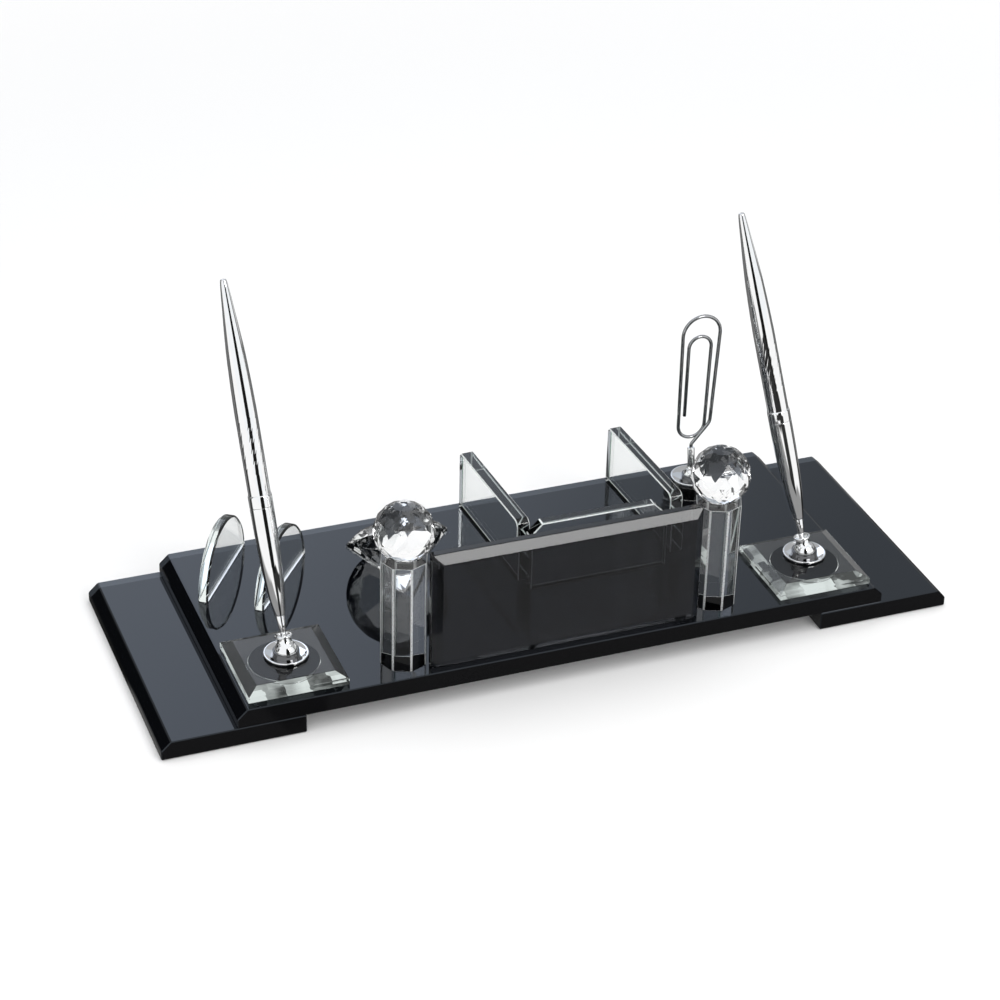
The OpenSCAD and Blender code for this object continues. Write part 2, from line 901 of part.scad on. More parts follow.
left_foot_plate();
right_foot_plate();
main_plate();
front_panel();
left_pillar();
right_pillar();
left_ball();
right_ball();
rack_left_fin();
rack_right_fin();
rack_front_plate();
outer_card_disc();
inner_card_disc();
paperweight();
left_pen_block();
left_block_pad();
left_saucer();
left_swivel_ring();
left_cup();
left_pen_nose();
left_lower_barrel();
left_seam_ring();
left_upper_barrel();
right_pen_block();
right_block_pad();
right_saucer();
right_swivel_ring();
right_cup();
right_pen_nose();
right_lower_barrel();
right_seam_ring();
right_upper_barrel();
clip_puck();
clip_saucer();
clip_swivel_ring();
clip_ball();
clip_tube();
clip_wire();
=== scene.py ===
"""Looks of a black glass desk set with pens, a photo clip and cut crystal.

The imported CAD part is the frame. Glass pieces get finely polished edges and
rest on a film of air or of glue, chrome pieces are turned anew with smooth
profiles, and every finish is made of shader nodes. Lengths are metres in the
part's own frame: +Z up, origin at the centre of the base. Sizes that come
from drawings are written in millimetres and multiplied by MM.
"""

import json
import logging
import math
from collections.abc import Callable
from dataclasses import dataclass
from enum import Enum

import bmesh
import bpy
from mathutils import Matrix, Vector


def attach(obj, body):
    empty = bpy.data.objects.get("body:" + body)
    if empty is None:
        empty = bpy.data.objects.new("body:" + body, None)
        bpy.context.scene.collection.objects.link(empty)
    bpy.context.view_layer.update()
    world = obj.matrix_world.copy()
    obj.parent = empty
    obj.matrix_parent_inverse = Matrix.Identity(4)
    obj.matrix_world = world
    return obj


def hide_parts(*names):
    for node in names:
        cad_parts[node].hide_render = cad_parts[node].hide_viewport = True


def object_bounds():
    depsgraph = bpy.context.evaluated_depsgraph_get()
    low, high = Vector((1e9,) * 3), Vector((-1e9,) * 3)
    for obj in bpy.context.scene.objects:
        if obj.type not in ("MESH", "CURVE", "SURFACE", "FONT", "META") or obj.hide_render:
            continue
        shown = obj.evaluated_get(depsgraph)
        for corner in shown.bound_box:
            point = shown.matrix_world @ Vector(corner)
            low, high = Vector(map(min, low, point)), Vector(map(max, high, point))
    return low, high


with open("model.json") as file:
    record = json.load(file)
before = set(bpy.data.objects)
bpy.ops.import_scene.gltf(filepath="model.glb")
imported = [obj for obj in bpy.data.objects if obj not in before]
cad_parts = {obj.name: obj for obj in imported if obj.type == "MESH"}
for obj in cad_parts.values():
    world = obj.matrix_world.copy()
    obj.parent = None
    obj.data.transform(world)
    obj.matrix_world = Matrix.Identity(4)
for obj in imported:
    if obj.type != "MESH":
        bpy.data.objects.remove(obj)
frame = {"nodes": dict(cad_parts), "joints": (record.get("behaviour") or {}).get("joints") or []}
CAD_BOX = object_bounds()
LOG = logging.getLogger("desk_set")
MM = 0.001

Color = tuple[float, float, float]
Point = tuple[float, float]
Place = tuple[float, float, float]
Socket = bpy.types.NodeSocket

WHITE: Color = (1.0, 1.0, 1.0)
GLASS_IOR = 1.52

# The two ends of a passage, and the part of a noise that finishes use
RISE: Point = (0.0, 1.0)
FALL: Point = (1.0, 0.0)
GRAIN_BAND: Point = (0.3, 0.7)

# How high an underside reaches, Z of its normal, and distances that merge
UNDERSIDE = 0.1 * MM
FACING_DOWN = -0.99
MERGE = 1e-6
TINY = 1e-7

# Edge angles in degrees below which shading is smooth
ROUND_SMOOTH = 12.0
TURNED_SMOOTH = 32.0
SOCKET_SMOOTH = 35.0


class Ray(Enum):
    """Outputs of the Light Path node that the studio uses."""

    CAMERA = "Is Camera Ray"
    GLOSSY = "Is Glossy Ray"
    TRANSMISSION = "Is Transmission Ray"


class Rest(Enum):
    """How a glass piece stands: its underside's shift in metres."""

    AIR = 0.03 * MM
    GLUE = 0.01 * MM
    FREE = 0.0


# Finishes


class Wires:
    """Short ways to add shader nodes to one tree."""

    def __init__(self, tree: bpy.types.NodeTree) -> None:
        """Clear the tree.

        Args:
            tree: Node tree that the wires are added to.
        """
        self.tree = tree
        tree.nodes.clear()

    def node(self, kind: str, **settings: object) -> bpy.types.Node:
        """Add a node.

        Args:
            kind: Node type.
            **settings: Attributes to set on the node.

        Returns:
            The new node.
        """
        made = self.tree.nodes.new(kind)
        for name, value in settings.items():
            setattr(made, name, value)
        return made

    def link(self, source: Socket, target: Socket) -> None:
        """Join two sockets.

        Args:
            source: Output socket.
            target: Input socket.
        """
        self.tree.links.new(source, target)

    def feed(self, target: Socket, value: Socket | float | Color) -> None:
        """Give an input a link or a constant.

        Args:
            target: Input socket.
            value: Another node's output, a number or a colour.
        """
        if isinstance(value, bpy.types.NodeSocket):
            self.link(value, target)
        elif isinstance(value, tuple):
            target.default_value = (*value, 1.0)
        else:
            target.default_value = value

    def coords(self) -> Socket:
        """Give the Object coordinates of the piece itself."""
        return self.node("ShaderNodeTexCoord").outputs["Object"]

    def axes(self) -> tuple[Socket, Socket, Socket]:
        """Give X, Y and Z of the Object coordinates.

        Returns:
            The sockets of X, Y and Z.
        """
        split = self.node("ShaderNodeSeparateXYZ")
        self.link(self.coords(), split.inputs["Vector"])
        return split.outputs["X"], split.outputs["Y"], split.outputs["Z"]

    def noise(self, scale: float, detail: float = 3.0) -> Socket:
        """Add noise on Object coordinates.

        Args:
            scale: Waves per metre.
            detail: Octaves of the noise.

        Returns:
            The noise's factor output.
        """
        made = self.node("ShaderNodeTexNoise")
        made.inputs["Scale"].default_value = scale
        made.inputs["Detail"].default_value = detail
        self.link(self.coords(), made.inputs["Vector"])
        return made.outputs[0]

    def cells(self, scale: float, stray: float = 0.7) -> Socket:
        """Add blocky cells on Object coordinates, each with its own level.

        Args:
            scale: Cells per metre.
            stray: How far the cells stray from a grid, as a share of a cell.

        Returns:
            The cells' colour output.
        """
        made = self.node("ShaderNodeTexVoronoi", distance="CHEBYCHEV")
        made.inputs["Scale"].default_value = scale
        made.inputs["Randomness"].default_value = stray
        self.link(self.coords(), made.inputs["Vector"])
        return made.outputs["Color"]

    def span(
        self, value: Socket, source: Point, result: Point, soft: bool = False
    ) -> Socket:
        """Map a value from one range to another, clamped.

        Args:
            value: Socket to map.
            source: Values that give the two results.
            result: The two results.
            soft: Whether the passage is smooth.

        Returns:
            The mapped value's socket.
        """
        made = self.node("ShaderNodeMapRange")
        if soft:
            made.interpolation_type = "SMOOTHSTEP"
        for name, number in zip(
            ("From Min", "From Max", "To Min", "To Max"), (*source, *result)
        ):
            made.inputs[name].default_value = number
        self.link(value, made.inputs["Value"])
        return made.outputs["Result"]

    def math(self, kind: str, first: Socket | float, second: Socket | float) -> Socket:
        """Add a Math node.

        Args:
            kind: Operation of the node.
            first: First input.
            second: Second input.

        Returns:
            The result's socket.
        """
        made = self.node("ShaderNodeMath", operation=kind)
        self.feed(made.inputs[0], first)
        self.feed(made.inputs[1], second)
        return made.outputs["Value"]

    def blend(
        self, share: Socket | float, first: Socket | Color, second: Socket | Color
    ) -> Socket:
        """Mix two colours.

        Args:
            share: Part of the second colour.
            first: First colour.
            second: Second colour.

        Returns:
            The colour's socket.
        """
        made = self.node("ShaderNodeMix", data_type="RGBA")
        self.feed(made.inputs["Factor"], share)
        # The node's colours are its inputs 6 and 7, and its output 2
        self.feed(made.inputs[6], first)
        self.feed(made.inputs[7], second)
        return made.outputs[2]

    def shader(self, kind: str, **inputs: Socket | float | Color) -> bpy.types.Node:
        """Add a shader node.

        Args:
            kind: Node type.
            **inputs: Input values, with underscores for spaces.

        Returns:
            The shader node.
        """
        made = self.node(kind)
        for name, value in inputs.items():
            self.feed(made.inputs[name.replace("_", " ")], value)
        return made

    def mixed(self, share: Socket | float, first: Socket, second: Socket) -> Socket:
        """Mix two shaders.

        Args:
            share: Part of the second shader.
            first: First shader.
            second: Second shader.

        Returns:
            The shader's socket.
        """
        made = self.node("ShaderNodeMixShader")
        self.feed(made.inputs["Fac"], share)
        self.link(first, made.inputs[1])
        self.link(second, made.inputs[2])
        return made.outputs["Shader"]

    def finish(
        self, surface: Socket, kind: str = "ShaderNodeOutputMaterial"
    ) -> bpy.types.Node:
        """Add the output node.

        Args:
            surface: Shader of the surface.
            kind: Type of the output node.

        Returns:
            The output node.
        """
        out = self.node(kind)
        self.link(surface, out.inputs["Surface"])
        return out


def material(name: str) -> tuple[bpy.types.Material, Wires]:
    """Make an empty node material.

    Args:
        name: Name of the material.

    Returns:
        The material and the wires of its tree.
    """
    made = bpy.data.materials.new(name)
    made.use_nodes = True
    return made, Wires(made.node_tree)


@dataclass(frozen=True)
class Glass:
    """Clear or tinted glass with faint wipe marks and a tint in its depth."""

    name: str
    tint: Color
    depth_tint: Color
    density: float
    ior: float = GLASS_IOR
    haze: float = 0.004
    wipe_scale: float = 90.0
    wipe_band: Point = (0.4, 0.6)
    haze_band: Point = (0.45, 0.75)
    wiped: float = 0.99

    def build(self) -> bpy.types.Material:
        """Make the material from shader nodes.

        Returns:
            The material.
        """
        made, w = material(self.name)
        wipe = w.noise(self.wipe_scale)
        faint = tuple(c * self.wiped for c in self.tint)
        body = w.shader(
            "ShaderNodeBsdfPrincipled",
            Base_Color=w.blend(w.span(wipe, self.wipe_band, RISE), faint, self.tint),
            Roughness=w.span(wipe, self.haze_band, (0.0, self.haze)),
            IOR=self.ior,
            Transmission_Weight=1.0,
        )
        soak = w.node("ShaderNodeVolumeAbsorption")
        soak.inputs["Color"].default_value = (*self.depth_tint, 1.0)
        soak.inputs["Density"].default_value = self.density
        out = w.finish(body.outputs["BSDF"])
        w.link(soak.outputs["Volume"], out.inputs["Volume"])
        return made


@dataclass(frozen=True)
class GroundGlass:
    """Fine ground flat along the edges of clear glass: it scatters light."""

    name: str
    color: Color
    clear: float
    grain: float = 2600.0
    detail: float = 4.0
    rough: Point = (0.22, 0.4)

    def build(self) -> bpy.types.Material:
        """Make the material from shader nodes.

        Returns:
            The material.
        """
        made, w = material(self.name)
        grain = w.noise(self.grain, self.detail)
        body = w.shader(
            "ShaderNodeBsdfPrincipled",
            Base_Color=self.color,
            Roughness=w.span(grain, GRAIN_BAND, self.rough),
            IOR=GLASS_IOR,
            Transmission_Weight=self.clear,
        )
        w.finish(body.outputs["BSDF"])
        return made


@dataclass(frozen=True)
class BlackGlass:
    """Polished top of thick glass over a black painted underside, with painted light along its
    back edge.
    """

    name: str
    color: Color
    painted_light_color: Color
    sheen: Color
    back_edge: float
    band: float
    fade: float = 0.3 * MM
    wipe_scale: float = 26.0
    wipe_band: Point = (0.35, 0.65)
    rough: Point = (0.006, 0.016)

    def build(self) -> bpy.types.Material:
        """Make the material from shader nodes.

        Returns:
            The material.
        """
        made, w = material(self.name)
        _, y, _ = w.axes()
        # Painted light: a lighter band in the base colour along the back edge, standing for the
        # lit back face seen through the glass.
        start = self.back_edge - self.band
        painted_light_share = w.span(y, (start, start + self.fade), RISE)
        wipe = w.noise(self.wipe_scale)
        body = w.shader(
            "ShaderNodeBsdfPrincipled",
            Base_Color=w.blend(painted_light_share, self.color, self.painted_light_color),
            Roughness=w.span(wipe, self.wipe_band, self.rough),
            IOR=GLASS_IOR,
            Specular_Tint=self.sheen,
        )
        w.finish(body.outputs["BSDF"])
        return made


@dataclass(frozen=True)
class GroundEdge:
    """Black edge of a plate, ground and lightly polished."""

    name: str
    color: Color
    gloss: float
    ior: float = 1.5
    grain: float = 1400.0
    detail: float = 4.0
    rough: Point = (0.1, 0.2)
    bump: float = 0.08
    bump_depth: float = 0.04 * MM

    def build(self) -> bpy.types.Material:
        """Make the material from shader nodes.

        Returns:
            The material.
        """
        made, w = material(self.name)
        grain = w.noise(self.grain, self.detail)
        bump = w.shader(
            "ShaderNodeBump", Strength=self.bump, Distance=self.bump_depth, Height=grain
        )
        body = w.shader(
            "ShaderNodeBsdfPrincipled",
            Base_Color=self.color,
            Roughness=w.span(grain, GRAIN_BAND, self.rough),
            IOR=self.ior,
            Specular_IOR_Level=self.gloss,
            Normal=bump.outputs["Normal"],
        )
        w.finish(body.outputs["BSDF"])
        return made


@dataclass(frozen=True)
class Chrome:
    """Polished chrome with faint haze."""

    name: str
    color: Color
    rough: float
    haze_scale: float = 240.0
    dulled: float = 0.97

    def build(self) -> bpy.types.Material:
        """Make the material from shader nodes.

        Returns:
            The material.
        """
        made, w = material(self.name)
        haze = w.noise(self.haze_scale)
        dull = tuple(c * self.dulled for c in self.color)
        body = w.shader(
            "ShaderNodeBsdfPrincipled",
            Base_Color=w.blend(w.span(haze, GRAIN_BAND, RISE), dull, self.color),
            Roughness=w.span(haze, GRAIN_BAND, (self.rough, self.rough * 2.0)),
            Metallic=1.0,
        )
        w.finish(body.outputs["BSDF"])
        return made


@dataclass(frozen=True)
class Pad:
    """Dark layer with a fine matt grain, behind glass.

    Past the angle of total reflection a block of glass guides light from its
    far sides, and there the layer shows painted light instead: a pale, patchy
    glow that stands for the light which the glass guides.
    """

    name: str
    color: Color
    gloss: float
    painted_glow: Point = (0.0, 0.0)
    painted_glow_color: Color = (0.88, 0.95, 0.93)
    total_reflection: Point = (0.265, 0.3)
    cell_scale: float = 130.0
    cloud_scale: float = 90.0
    patch_band: Point = (0.75, 1.25)
    grain: float = 900.0
    detail: float = 5.0
    rough: Point = (0.45, 0.65)
    bump: float = 0.4
    bump_depth: float = 0.1 * MM
    shade: float = 0.8

    def build(self) -> bpy.types.Material:
        """Make the material from shader nodes.

        Returns:
            The material.
        """
        made, w = material(self.name)
        grain = w.noise(self.grain, self.detail)
        bump = w.shader(
            "ShaderNodeBump", Strength=self.bump, Distance=self.bump_depth, Height=grain
        )
        dark = tuple(c * self.shade for c in self.color)
        body = w.shader(
            "ShaderNodeBsdfPrincipled",
            Base_Color=w.blend(grain, dark, self.color),
            Roughness=w.span(grain, GRAIN_BAND, self.rough),
            Specular_IOR_Level=self.gloss,
            Normal=bump.outputs["Normal"],
        )
        if self.painted_glow[1] <= 0.0:
            w.finish(body.outputs["BSDF"])
            return made
        # Painted light: past total reflection the layer glows pale and patchy.
        facing = w.node("ShaderNodeLayerWeight")
        total = w.span(facing.outputs["Facing"], self.total_reflection, RISE)
        patches = w.math("ADD", w.cells(self.cell_scale), w.noise(self.cloud_scale))
        light = w.shader(
            "ShaderNodeEmission",
            Color=self.painted_glow_color,
            Strength=w.span(patches, self.patch_band, self.painted_glow),
        )
        w.finish(w.mixed(total, body.outputs["BSDF"], light.outputs["Emission"]))
        return made


class Palette:
    """The finishes of the set, each built once."""

    def __init__(self) -> None:
        """Build all materials."""
        self.plates = BlackGlass(
            "plate_glass",
            color=(0.001, 0.0012, 0.0018),
            # Painted light: the lighter band along the back edge of each top.
            painted_light_color=(0.03, 0.034, 0.04),
            sheen=(0.8, 0.89, 1.0),
            back_edge=CAD_BOX[1].y,
            band=4.2 * MM,
        ).build()
        self.edges = GroundEdge("plate_edge", (0.004, 0.004, 0.0045), gloss=0.12).build()
        self.panel = Glass(
            "panel_glass", (0.1, 0.102, 0.112), (0.5, 0.5, 0.5), density=8.0
        ).build()
        clear, in_depth = (0.985, 0.992, 0.99), (0.75, 0.95, 0.89)
        self.clear = Glass("clear_glass", clear, in_depth, density=7.0).build()
        self.block = Glass("block_glass", clear, in_depth, density=7.0, ior=1.4).build()
        self.crystal = Glass(
            "cut_crystal", (0.997, 0.997, 0.997), (0.9, 0.95, 0.94), density=2.0, ior=1.53
        ).build()
        self.arris = GroundGlass("ground_arris", (0.93, 0.97, 0.96), clear=0.35).build()
        self.crystal_arris = GroundGlass(
            "crystal_arris", (0.95, 0.97, 0.97), clear=0.6
        ).build()
        # The pad and the block's film glow pale past total reflection: painted light.
        self.pad = Pad(
            "dark_pad", (0.008, 0.0085, 0.01), gloss=0.04, painted_glow=(0.12, 0.5)
        ).build()
        self.film = Pad(
            "block_film", (0.03, 0.031, 0.034), gloss=0.8, painted_glow=(0.06, 0.8)
        ).build()
        self.bond = Pad("glue_film", (0.002, 0.002, 0.0025), gloss=0.0).build()
        self.chrome = Chrome("bright_chrome", (0.95, 0.952, 0.955), rough=0.012).build()
        # The swivel ring's chrome is much darker than the rest, so the ring round the cup's ball
        # shows dark.
        self.ring = Chrome("dark_chrome", (0.16, 0.16, 0.165), rough=0.03).build()
        # Painted shade: the wire's chrome is darkened to stand for the dark surroundings that it
        # mirrors.
        self.wire = Chrome("wire_chrome", (0.45, 0.455, 0.46), rough=0.01).build()


# Shapes


def keep_piece(
    shape: bmesh.types.BMesh,
    name: str,
    body: str,
    materials: tuple[bpy.types.Material, ...],
    nodes: tuple[str, ...],
    smooth_angle: float = 0.0,
) -> None:
    """Turn a finished bmesh into a piece that stands for CAD nodes.

    Args:
        shape: The finished mesh, freed here.
        name: Name of the piece.
        body: Body that the piece rides on.
        materials: The finishes, in the order of the faces' indices.
        nodes: CAD nodes that the piece replaces.
        smooth_angle: Edge angle in degrees below which shading is smooth.
    """
    if smooth_angle > 0.0:
        limit = math.radians(smooth_angle)
        for face in shape.faces:
            face.smooth = True
        for edge in shape.edges:
            edge.smooth = len(edge.link_faces) == 2 and edge.calc_face_angle(0) < limit
    mesh = bpy.data.meshes.new(name)
    shape.to_mesh(mesh)
    shape.free()
    for finish in materials:
        mesh.materials.append(finish)
    piece = bpy.data.objects.new(name, mesh)
    bpy.context.scene.collection.objects.link(piece)
    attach(piece, body)
    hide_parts(*nodes)
    LOG.info("made %s, %d faces", name, len(mesh.polygons))


def merged_copy(node: str) -> bmesh.types.BMesh:
    """Copy a CAD node's mesh and join its loose triangles.

    Args:
        node: Name of the CAD node.

    Returns:
        A closed bmesh with flat faces merged into polygons.
    """
    shape = bmesh.new()
    shape.from_mesh(frame["nodes"][node].data)
    bmesh.ops.remove_doubles(shape, verts=shape.verts, dist=2 * MERGE)
    flat = math.radians(1.0)
    bmesh.ops.dissolve_limit(
        shape, angle_limit=flat, verts=shape.verts, edges=shape.edges
    )
    bmesh.ops.recalc_face_normals(shape, faces=shape.faces)
    return shape


def polish_edges(
    shape: bmesh.types.BMesh, width: float, segments: int = 2, sharp: float = 12.0
) -> list[bmesh.types.BMFace]:
    """Break every sharp edge with a fine polished arris.

    Args:
        shape: Mesh to change.
        width: Width of the arris in metres.
        segments: Faces across the arris.
        sharp: Edge angle in degrees above which an edge is broken.

    Returns:
        The faces of the arris.
    """
    limit = math.radians(sharp)
    edges = [
        edge
        for edge in shape.edges
        if len(edge.link_faces) == 2 and edge.calc_face_angle(0) > limit
    ]
    made = bmesh.ops.bevel(
        shape,
        geom=edges,
        offset=width,
        offset_type="OFFSET",
        affect="EDGES",
        segments=segments,
        profile=0.5,
        material=-1,
        clamp_overlap=True,
    )
    return made["faces"]


def set_down(shape: bmesh.types.BMesh, rest: Rest) -> None:
    """Shift a piece's underside for the film of air or glue below it.

    Args:
        shape: Mesh to change.
        rest: What the piece stands on.
    """
    base = min(vert.co.z for vert in shape.verts)
    for vert in shape.verts:
        if vert.co.z < base + UNDERSIDE:
            vert.co.z += rest.value


@dataclass(frozen=True)
class Pane:
    """A CAD piece of glass that gets polished edges.

    The width of the arris is in millimetres and every edge above the sharp
    angle gets one. A ground arris scatters light, and so do faces that are
    narrower than the corner flats.
    """

    node: str
    slot: str
    arris: float
    rest: Rest
    sharp: float = 12.0
    segments: int = 1
    smooth: float = 0.0
    body: str = "base"
    ground: bool = False
    corner_flats: float = 0.0

    def build(self, glass: bpy.types.Material, finish: Palette) -> None:
        """Stand the polished copy in for the CAD piece.

        Args:
            glass: The glass it is made of.
            finish: The finishes, for the glue film and the ground edges.
        """
        shape = merged_copy(self.node)
        set_down(shape, self.rest)
        edges = polish_edges(shape, self.arris * MM, self.segments, self.sharp)
        if self.rest is Rest.GLUE:
            for face in shape.faces:
                face.material_index = 1 if face.normal.z < FACING_DOWN else 0
        if self.ground:
            for face in edges:
                face.material_index = 2
        if self.corner_flats > 0.0:
            for face in shape.faces:
                across = max((e.calc_length() for e in face.edges), default=0.0)
                if face.calc_area() < across * self.corner_flats * MM:
                    face.material_index = 2
        arris = finish.crystal_arris if self.slot == "crystal" else finish.arris
        keep_piece(
            shape,
            self.node + "_look",
            self.body,
            (glass, finish.bond, arris),
            (self.node,),
            self.smooth,
        )


def arc(
    centre: Point, radius: float, start: float, end: float, steps: int
) -> list[Point]:
    """Points on a circular arc.

    Args:
        centre: Centre of the arc.
        radius: Radius of the arc.
        start: First angle in degrees.
        end: Last angle in degrees.
        steps: Number of steps.

    Returns:
        The points, both ends included.
    """
    turns = [math.radians(start + (end - start) * k / steps) for k in range(steps + 1)]
    return [
        (centre[0] + radius * math.cos(t), centre[1] + radius * math.sin(t))
        for t in turns
    ]


def eased(points: list[Point], steps: int = 6) -> list[Point]:
    """Draw a smooth curve through points.

    Args:
        points: Points that the curve passes.
        steps: Steps between two of them.

    Returns:
        The finer points.
    """
    ends = [points[0], *points, points[-1]]
    fine: list[Point] = []
    for a, b, c, d in zip(ends, ends[1:], ends[2:], ends[3:]):
        for k in range(steps):
            t = k / steps
            fine.append(
                tuple(
                    0.5
                    * (
                        2 * b[i]
                        + (c[i] - a[i]) * t
                        + (2 * a[i] - 5 * b[i] + 4 * c[i] - d[i]) * t * t
                        + (3 * b[i] - a[i] - 3 * c[i] + d[i]) * t**3
                    )
                    for i in (0, 1)
                )
            )
    fine.append(points[-1])
    return fine


def turned(outline: list[Point], steps: int) -> bmesh.types.BMesh:
    """Spin a closed outline round the upright axis.

    Args:
        outline: Radius and height of its corners in millimetres.
        steps: Steps round the axis.

    Returns:
        The closed mesh in metres.
    """
    shape = bmesh.new()
    rim = [shape.verts.new((r * MM, 0.0, z * MM)) for r, z in outline]
    edges = [shape.edges.new((a, b)) for a, b in zip(rim, rim[1:] + rim[:1])]
    bmesh.ops.spin(
        shape,
        geom=rim + edges,
        cent=(0.0, 0.0, 0.0),
        axis=(0.0, 0.0, 1.0),
        angle=2 * math.pi,
        steps=steps,
        use_merge=True,
        use_duplicate=False,
    )
    bmesh.ops.remove_doubles(shape, verts=shape.verts, dist=MERGE)
    bmesh.ops.dissolve_degenerate(shape, dist=TINY, edges=shape.edges)
    loose = [edge for edge in shape.edges if not edge.link_faces]
    bmesh.ops.delete(shape, geom=loose, context="EDGES")
    bmesh.ops.recalc_face_normals(shape, faces=shape.faces)
    return shape


def turned_piece(
    outline: list[Point],
    node: str,
    body: str,
    place: Matrix,
    metal: bpy.types.Material,
    smooth: float = TURNED_SMOOTH,
    steps: int = 128,
    carve: Callable[[bmesh.types.BMVert], None] | None = None,
) -> None:
    """Turn a chrome piece that stands for a CAD node.

    Args:
        outline: Closed outline of the piece in millimetres.
        node: CAD node that it replaces.
        body: Body that it rides on.
        place: Frame of its axis.
        metal: Its finish.
        smooth: Edge angle in degrees below which shading is smooth.
        steps: Steps round the axis.
        carve: What is done to each point before the piece is placed.
    """
    shape = turned(outline, steps)
    if carve is not None:
        for vert in shape.verts:
            carve(vert)
    bmesh.ops.transform(shape, matrix=place, verts=shape.verts)
    keep_piece(shape, node + "_look", body, (metal,), (node,), smooth)


def joint(name: str) -> dict:
    """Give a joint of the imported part.

    Args:
        name: Name of the joint.

    Returns:
        The joint's entry in the record.
    """
    return next(entry for entry in frame["joints"] if entry["name"] == name)


def pivot(name: str) -> Vector:
    """Give the point that a joint turns about, in metres.

    Args:
        name: Name of the joint.

    Returns:
        The point.
    """
    return Vector(joint(name)["pos_m"])


def leaning(centre: Vector, axis: Vector) -> Matrix:
    """Frame at a ball's centre whose +Z points along an axis.

    Args:
        centre: Centre of the ball in metres.
        axis: Direction of the frame's +Z.

    Returns:
        The frame in metres.
    """
    turn = Vector((0.0, 0.0, 1.0)).rotation_difference(axis)
    return Matrix.Translation(centre) @ turn.to_matrix().to_4x4()


def lifted(place: Matrix, high: float) -> Matrix:
    """Move a frame along its own +Z.

    Args:
        place: The frame.
        high: Way in millimetres.

    Returns:
        The moved frame.
    """
    return place @ Matrix.Translation((0.0, 0.0, high * MM))


# Pieces


@dataclass
class Bases:
    """The three black glass plates."""

    arris: float = 0.35 * MM
    top_normal: float = 0.5
    nodes: tuple[str, ...] = ("left_foot_plate", "right_foot_plate", "main_plate")

    def build(self, finish: Palette) -> None:
        """Make the plates: polished tops, ground edges.

        Args:
            finish: The finishes.
        """
        for node in self.nodes:
            shape = merged_copy(node)
            for face in shape.faces:
                face.material_index = 0 if face.normal.z > self.top_normal else 1
            for face in polish_edges(shape, self.arris, 1):
                face.material_index = 0
            keep_piece(
                shape,
                node + "_look",
                "base",
                (finish.plates, finish.edges),
                (node,),
            )


@dataclass
class PenBlock:
    """The glass block of one pen: its pad and its socket's hub are glued in."""

    side: str
    arris: float = 0.15 * MM
    sharp: float = 15.0
    well_radius: float = 5.7 * MM
    well_margin: float = 0.1 * MM
    well_glue: float = 0.08 * MM
    pad_thick: float = 0.6 * MM
    pad_margin: float = 0.05 * MM
    pad_glue: float = 0.02 * MM

    def build(self, finish: Palette) -> None:
        """Make the block and dress its pad.

        Args:
            finish: The finishes.
        """
        node = self.side + "_pen_block"
        shape = merged_copy(node)
        axis = pivot(self.side + "_turn")
        base = min(vert.co.z for vert in shape.verts)
        for vert in shape.verts:
            out = Vector((vert.co.x - axis.x, vert.co.y - axis.y, 0.0))
            if abs(out.length - self.well_radius) < self.well_margin:
                vert.co -= out.normalized() * self.well_glue
            if abs(vert.co.z - base - self.pad_thick) < self.pad_margin:
                vert.co.z -= self.pad_glue
        set_down(shape, Rest.GLUE)
        polish_edges(shape, self.arris, 1, self.sharp)
        base = min(vert.co.z for vert in shape.verts)
        for face in shape.faces:
            under = face.calc_center_median().z < base + self.pad_margin
            film = under and face.normal.z < FACING_DOWN
            face.material_index = 1 if film else 0
        keep_piece(
            shape,
            node + "_look",
            "base",
            (finish.block, finish.film),
            (node,),
            ROUND_SMOOTH,
        )
        pad = frame["nodes"][self.side + "_block_pad"]
        pad.data.materials.clear()
        pad.data.materials.append(finish.pad)
        LOG.info("dressed %s", pad.name)


@dataclass
class GlassWork:
    """All clear, smoked and crystal pieces."""

    panel: Pane = Pane("front_panel", "smoked_glass", 0.2, Rest.GLUE, segments=2)
    crystals: tuple[Pane, ...] = (
        Pane("left_pillar", "crystal", 0.12, Rest.GLUE, corner_flats=0.8),
        Pane("right_pillar", "crystal", 0.12, Rest.GLUE, corner_flats=0.8),
        Pane("left_ball", "crystal", 0.04, Rest.AIR, sharp=4.0),
        Pane("right_ball", "crystal", 0.04, Rest.AIR, sharp=4.0),
        Pane("paperweight", "crystal", 0.05, Rest.FREE, sharp=4.0, body="gem"),
    )
    clear: tuple[Pane, ...] = (
        *(
            Pane(node, "clear_glass", 0.4, Rest.GLUE, 30.0, smooth=ROUND_SMOOTH, ground=True)
            for node in ("rack_left_fin", "rack_right_fin")
        ),
        Pane("rack_front_plate", "clear_glass", 0.4, Rest.GLUE, 30.0, ground=True),
        *(
            Pane(node, "clear_glass", 0.25, Rest.AIR, 50.0, smooth=ROUND_SMOOTH, ground=True)
            for node in ("outer_card_disc", "inner_card_disc")
        ),
        Pane("clip_puck", "clear_glass", 0.12, Rest.GLUE, 30.0, smooth=ROUND_SMOOTH),
    )

    def build(self, finish: Palette) -> None:
        """Make all glass pieces.

        Args:
            finish: The finishes.
        """
        self.panel.build(finish.panel, finish)
        for pane in self.crystals:
            pane.build(finish.crystal, finish)
        for pane in self.clear:
            pane.build(finish.clear, finish)


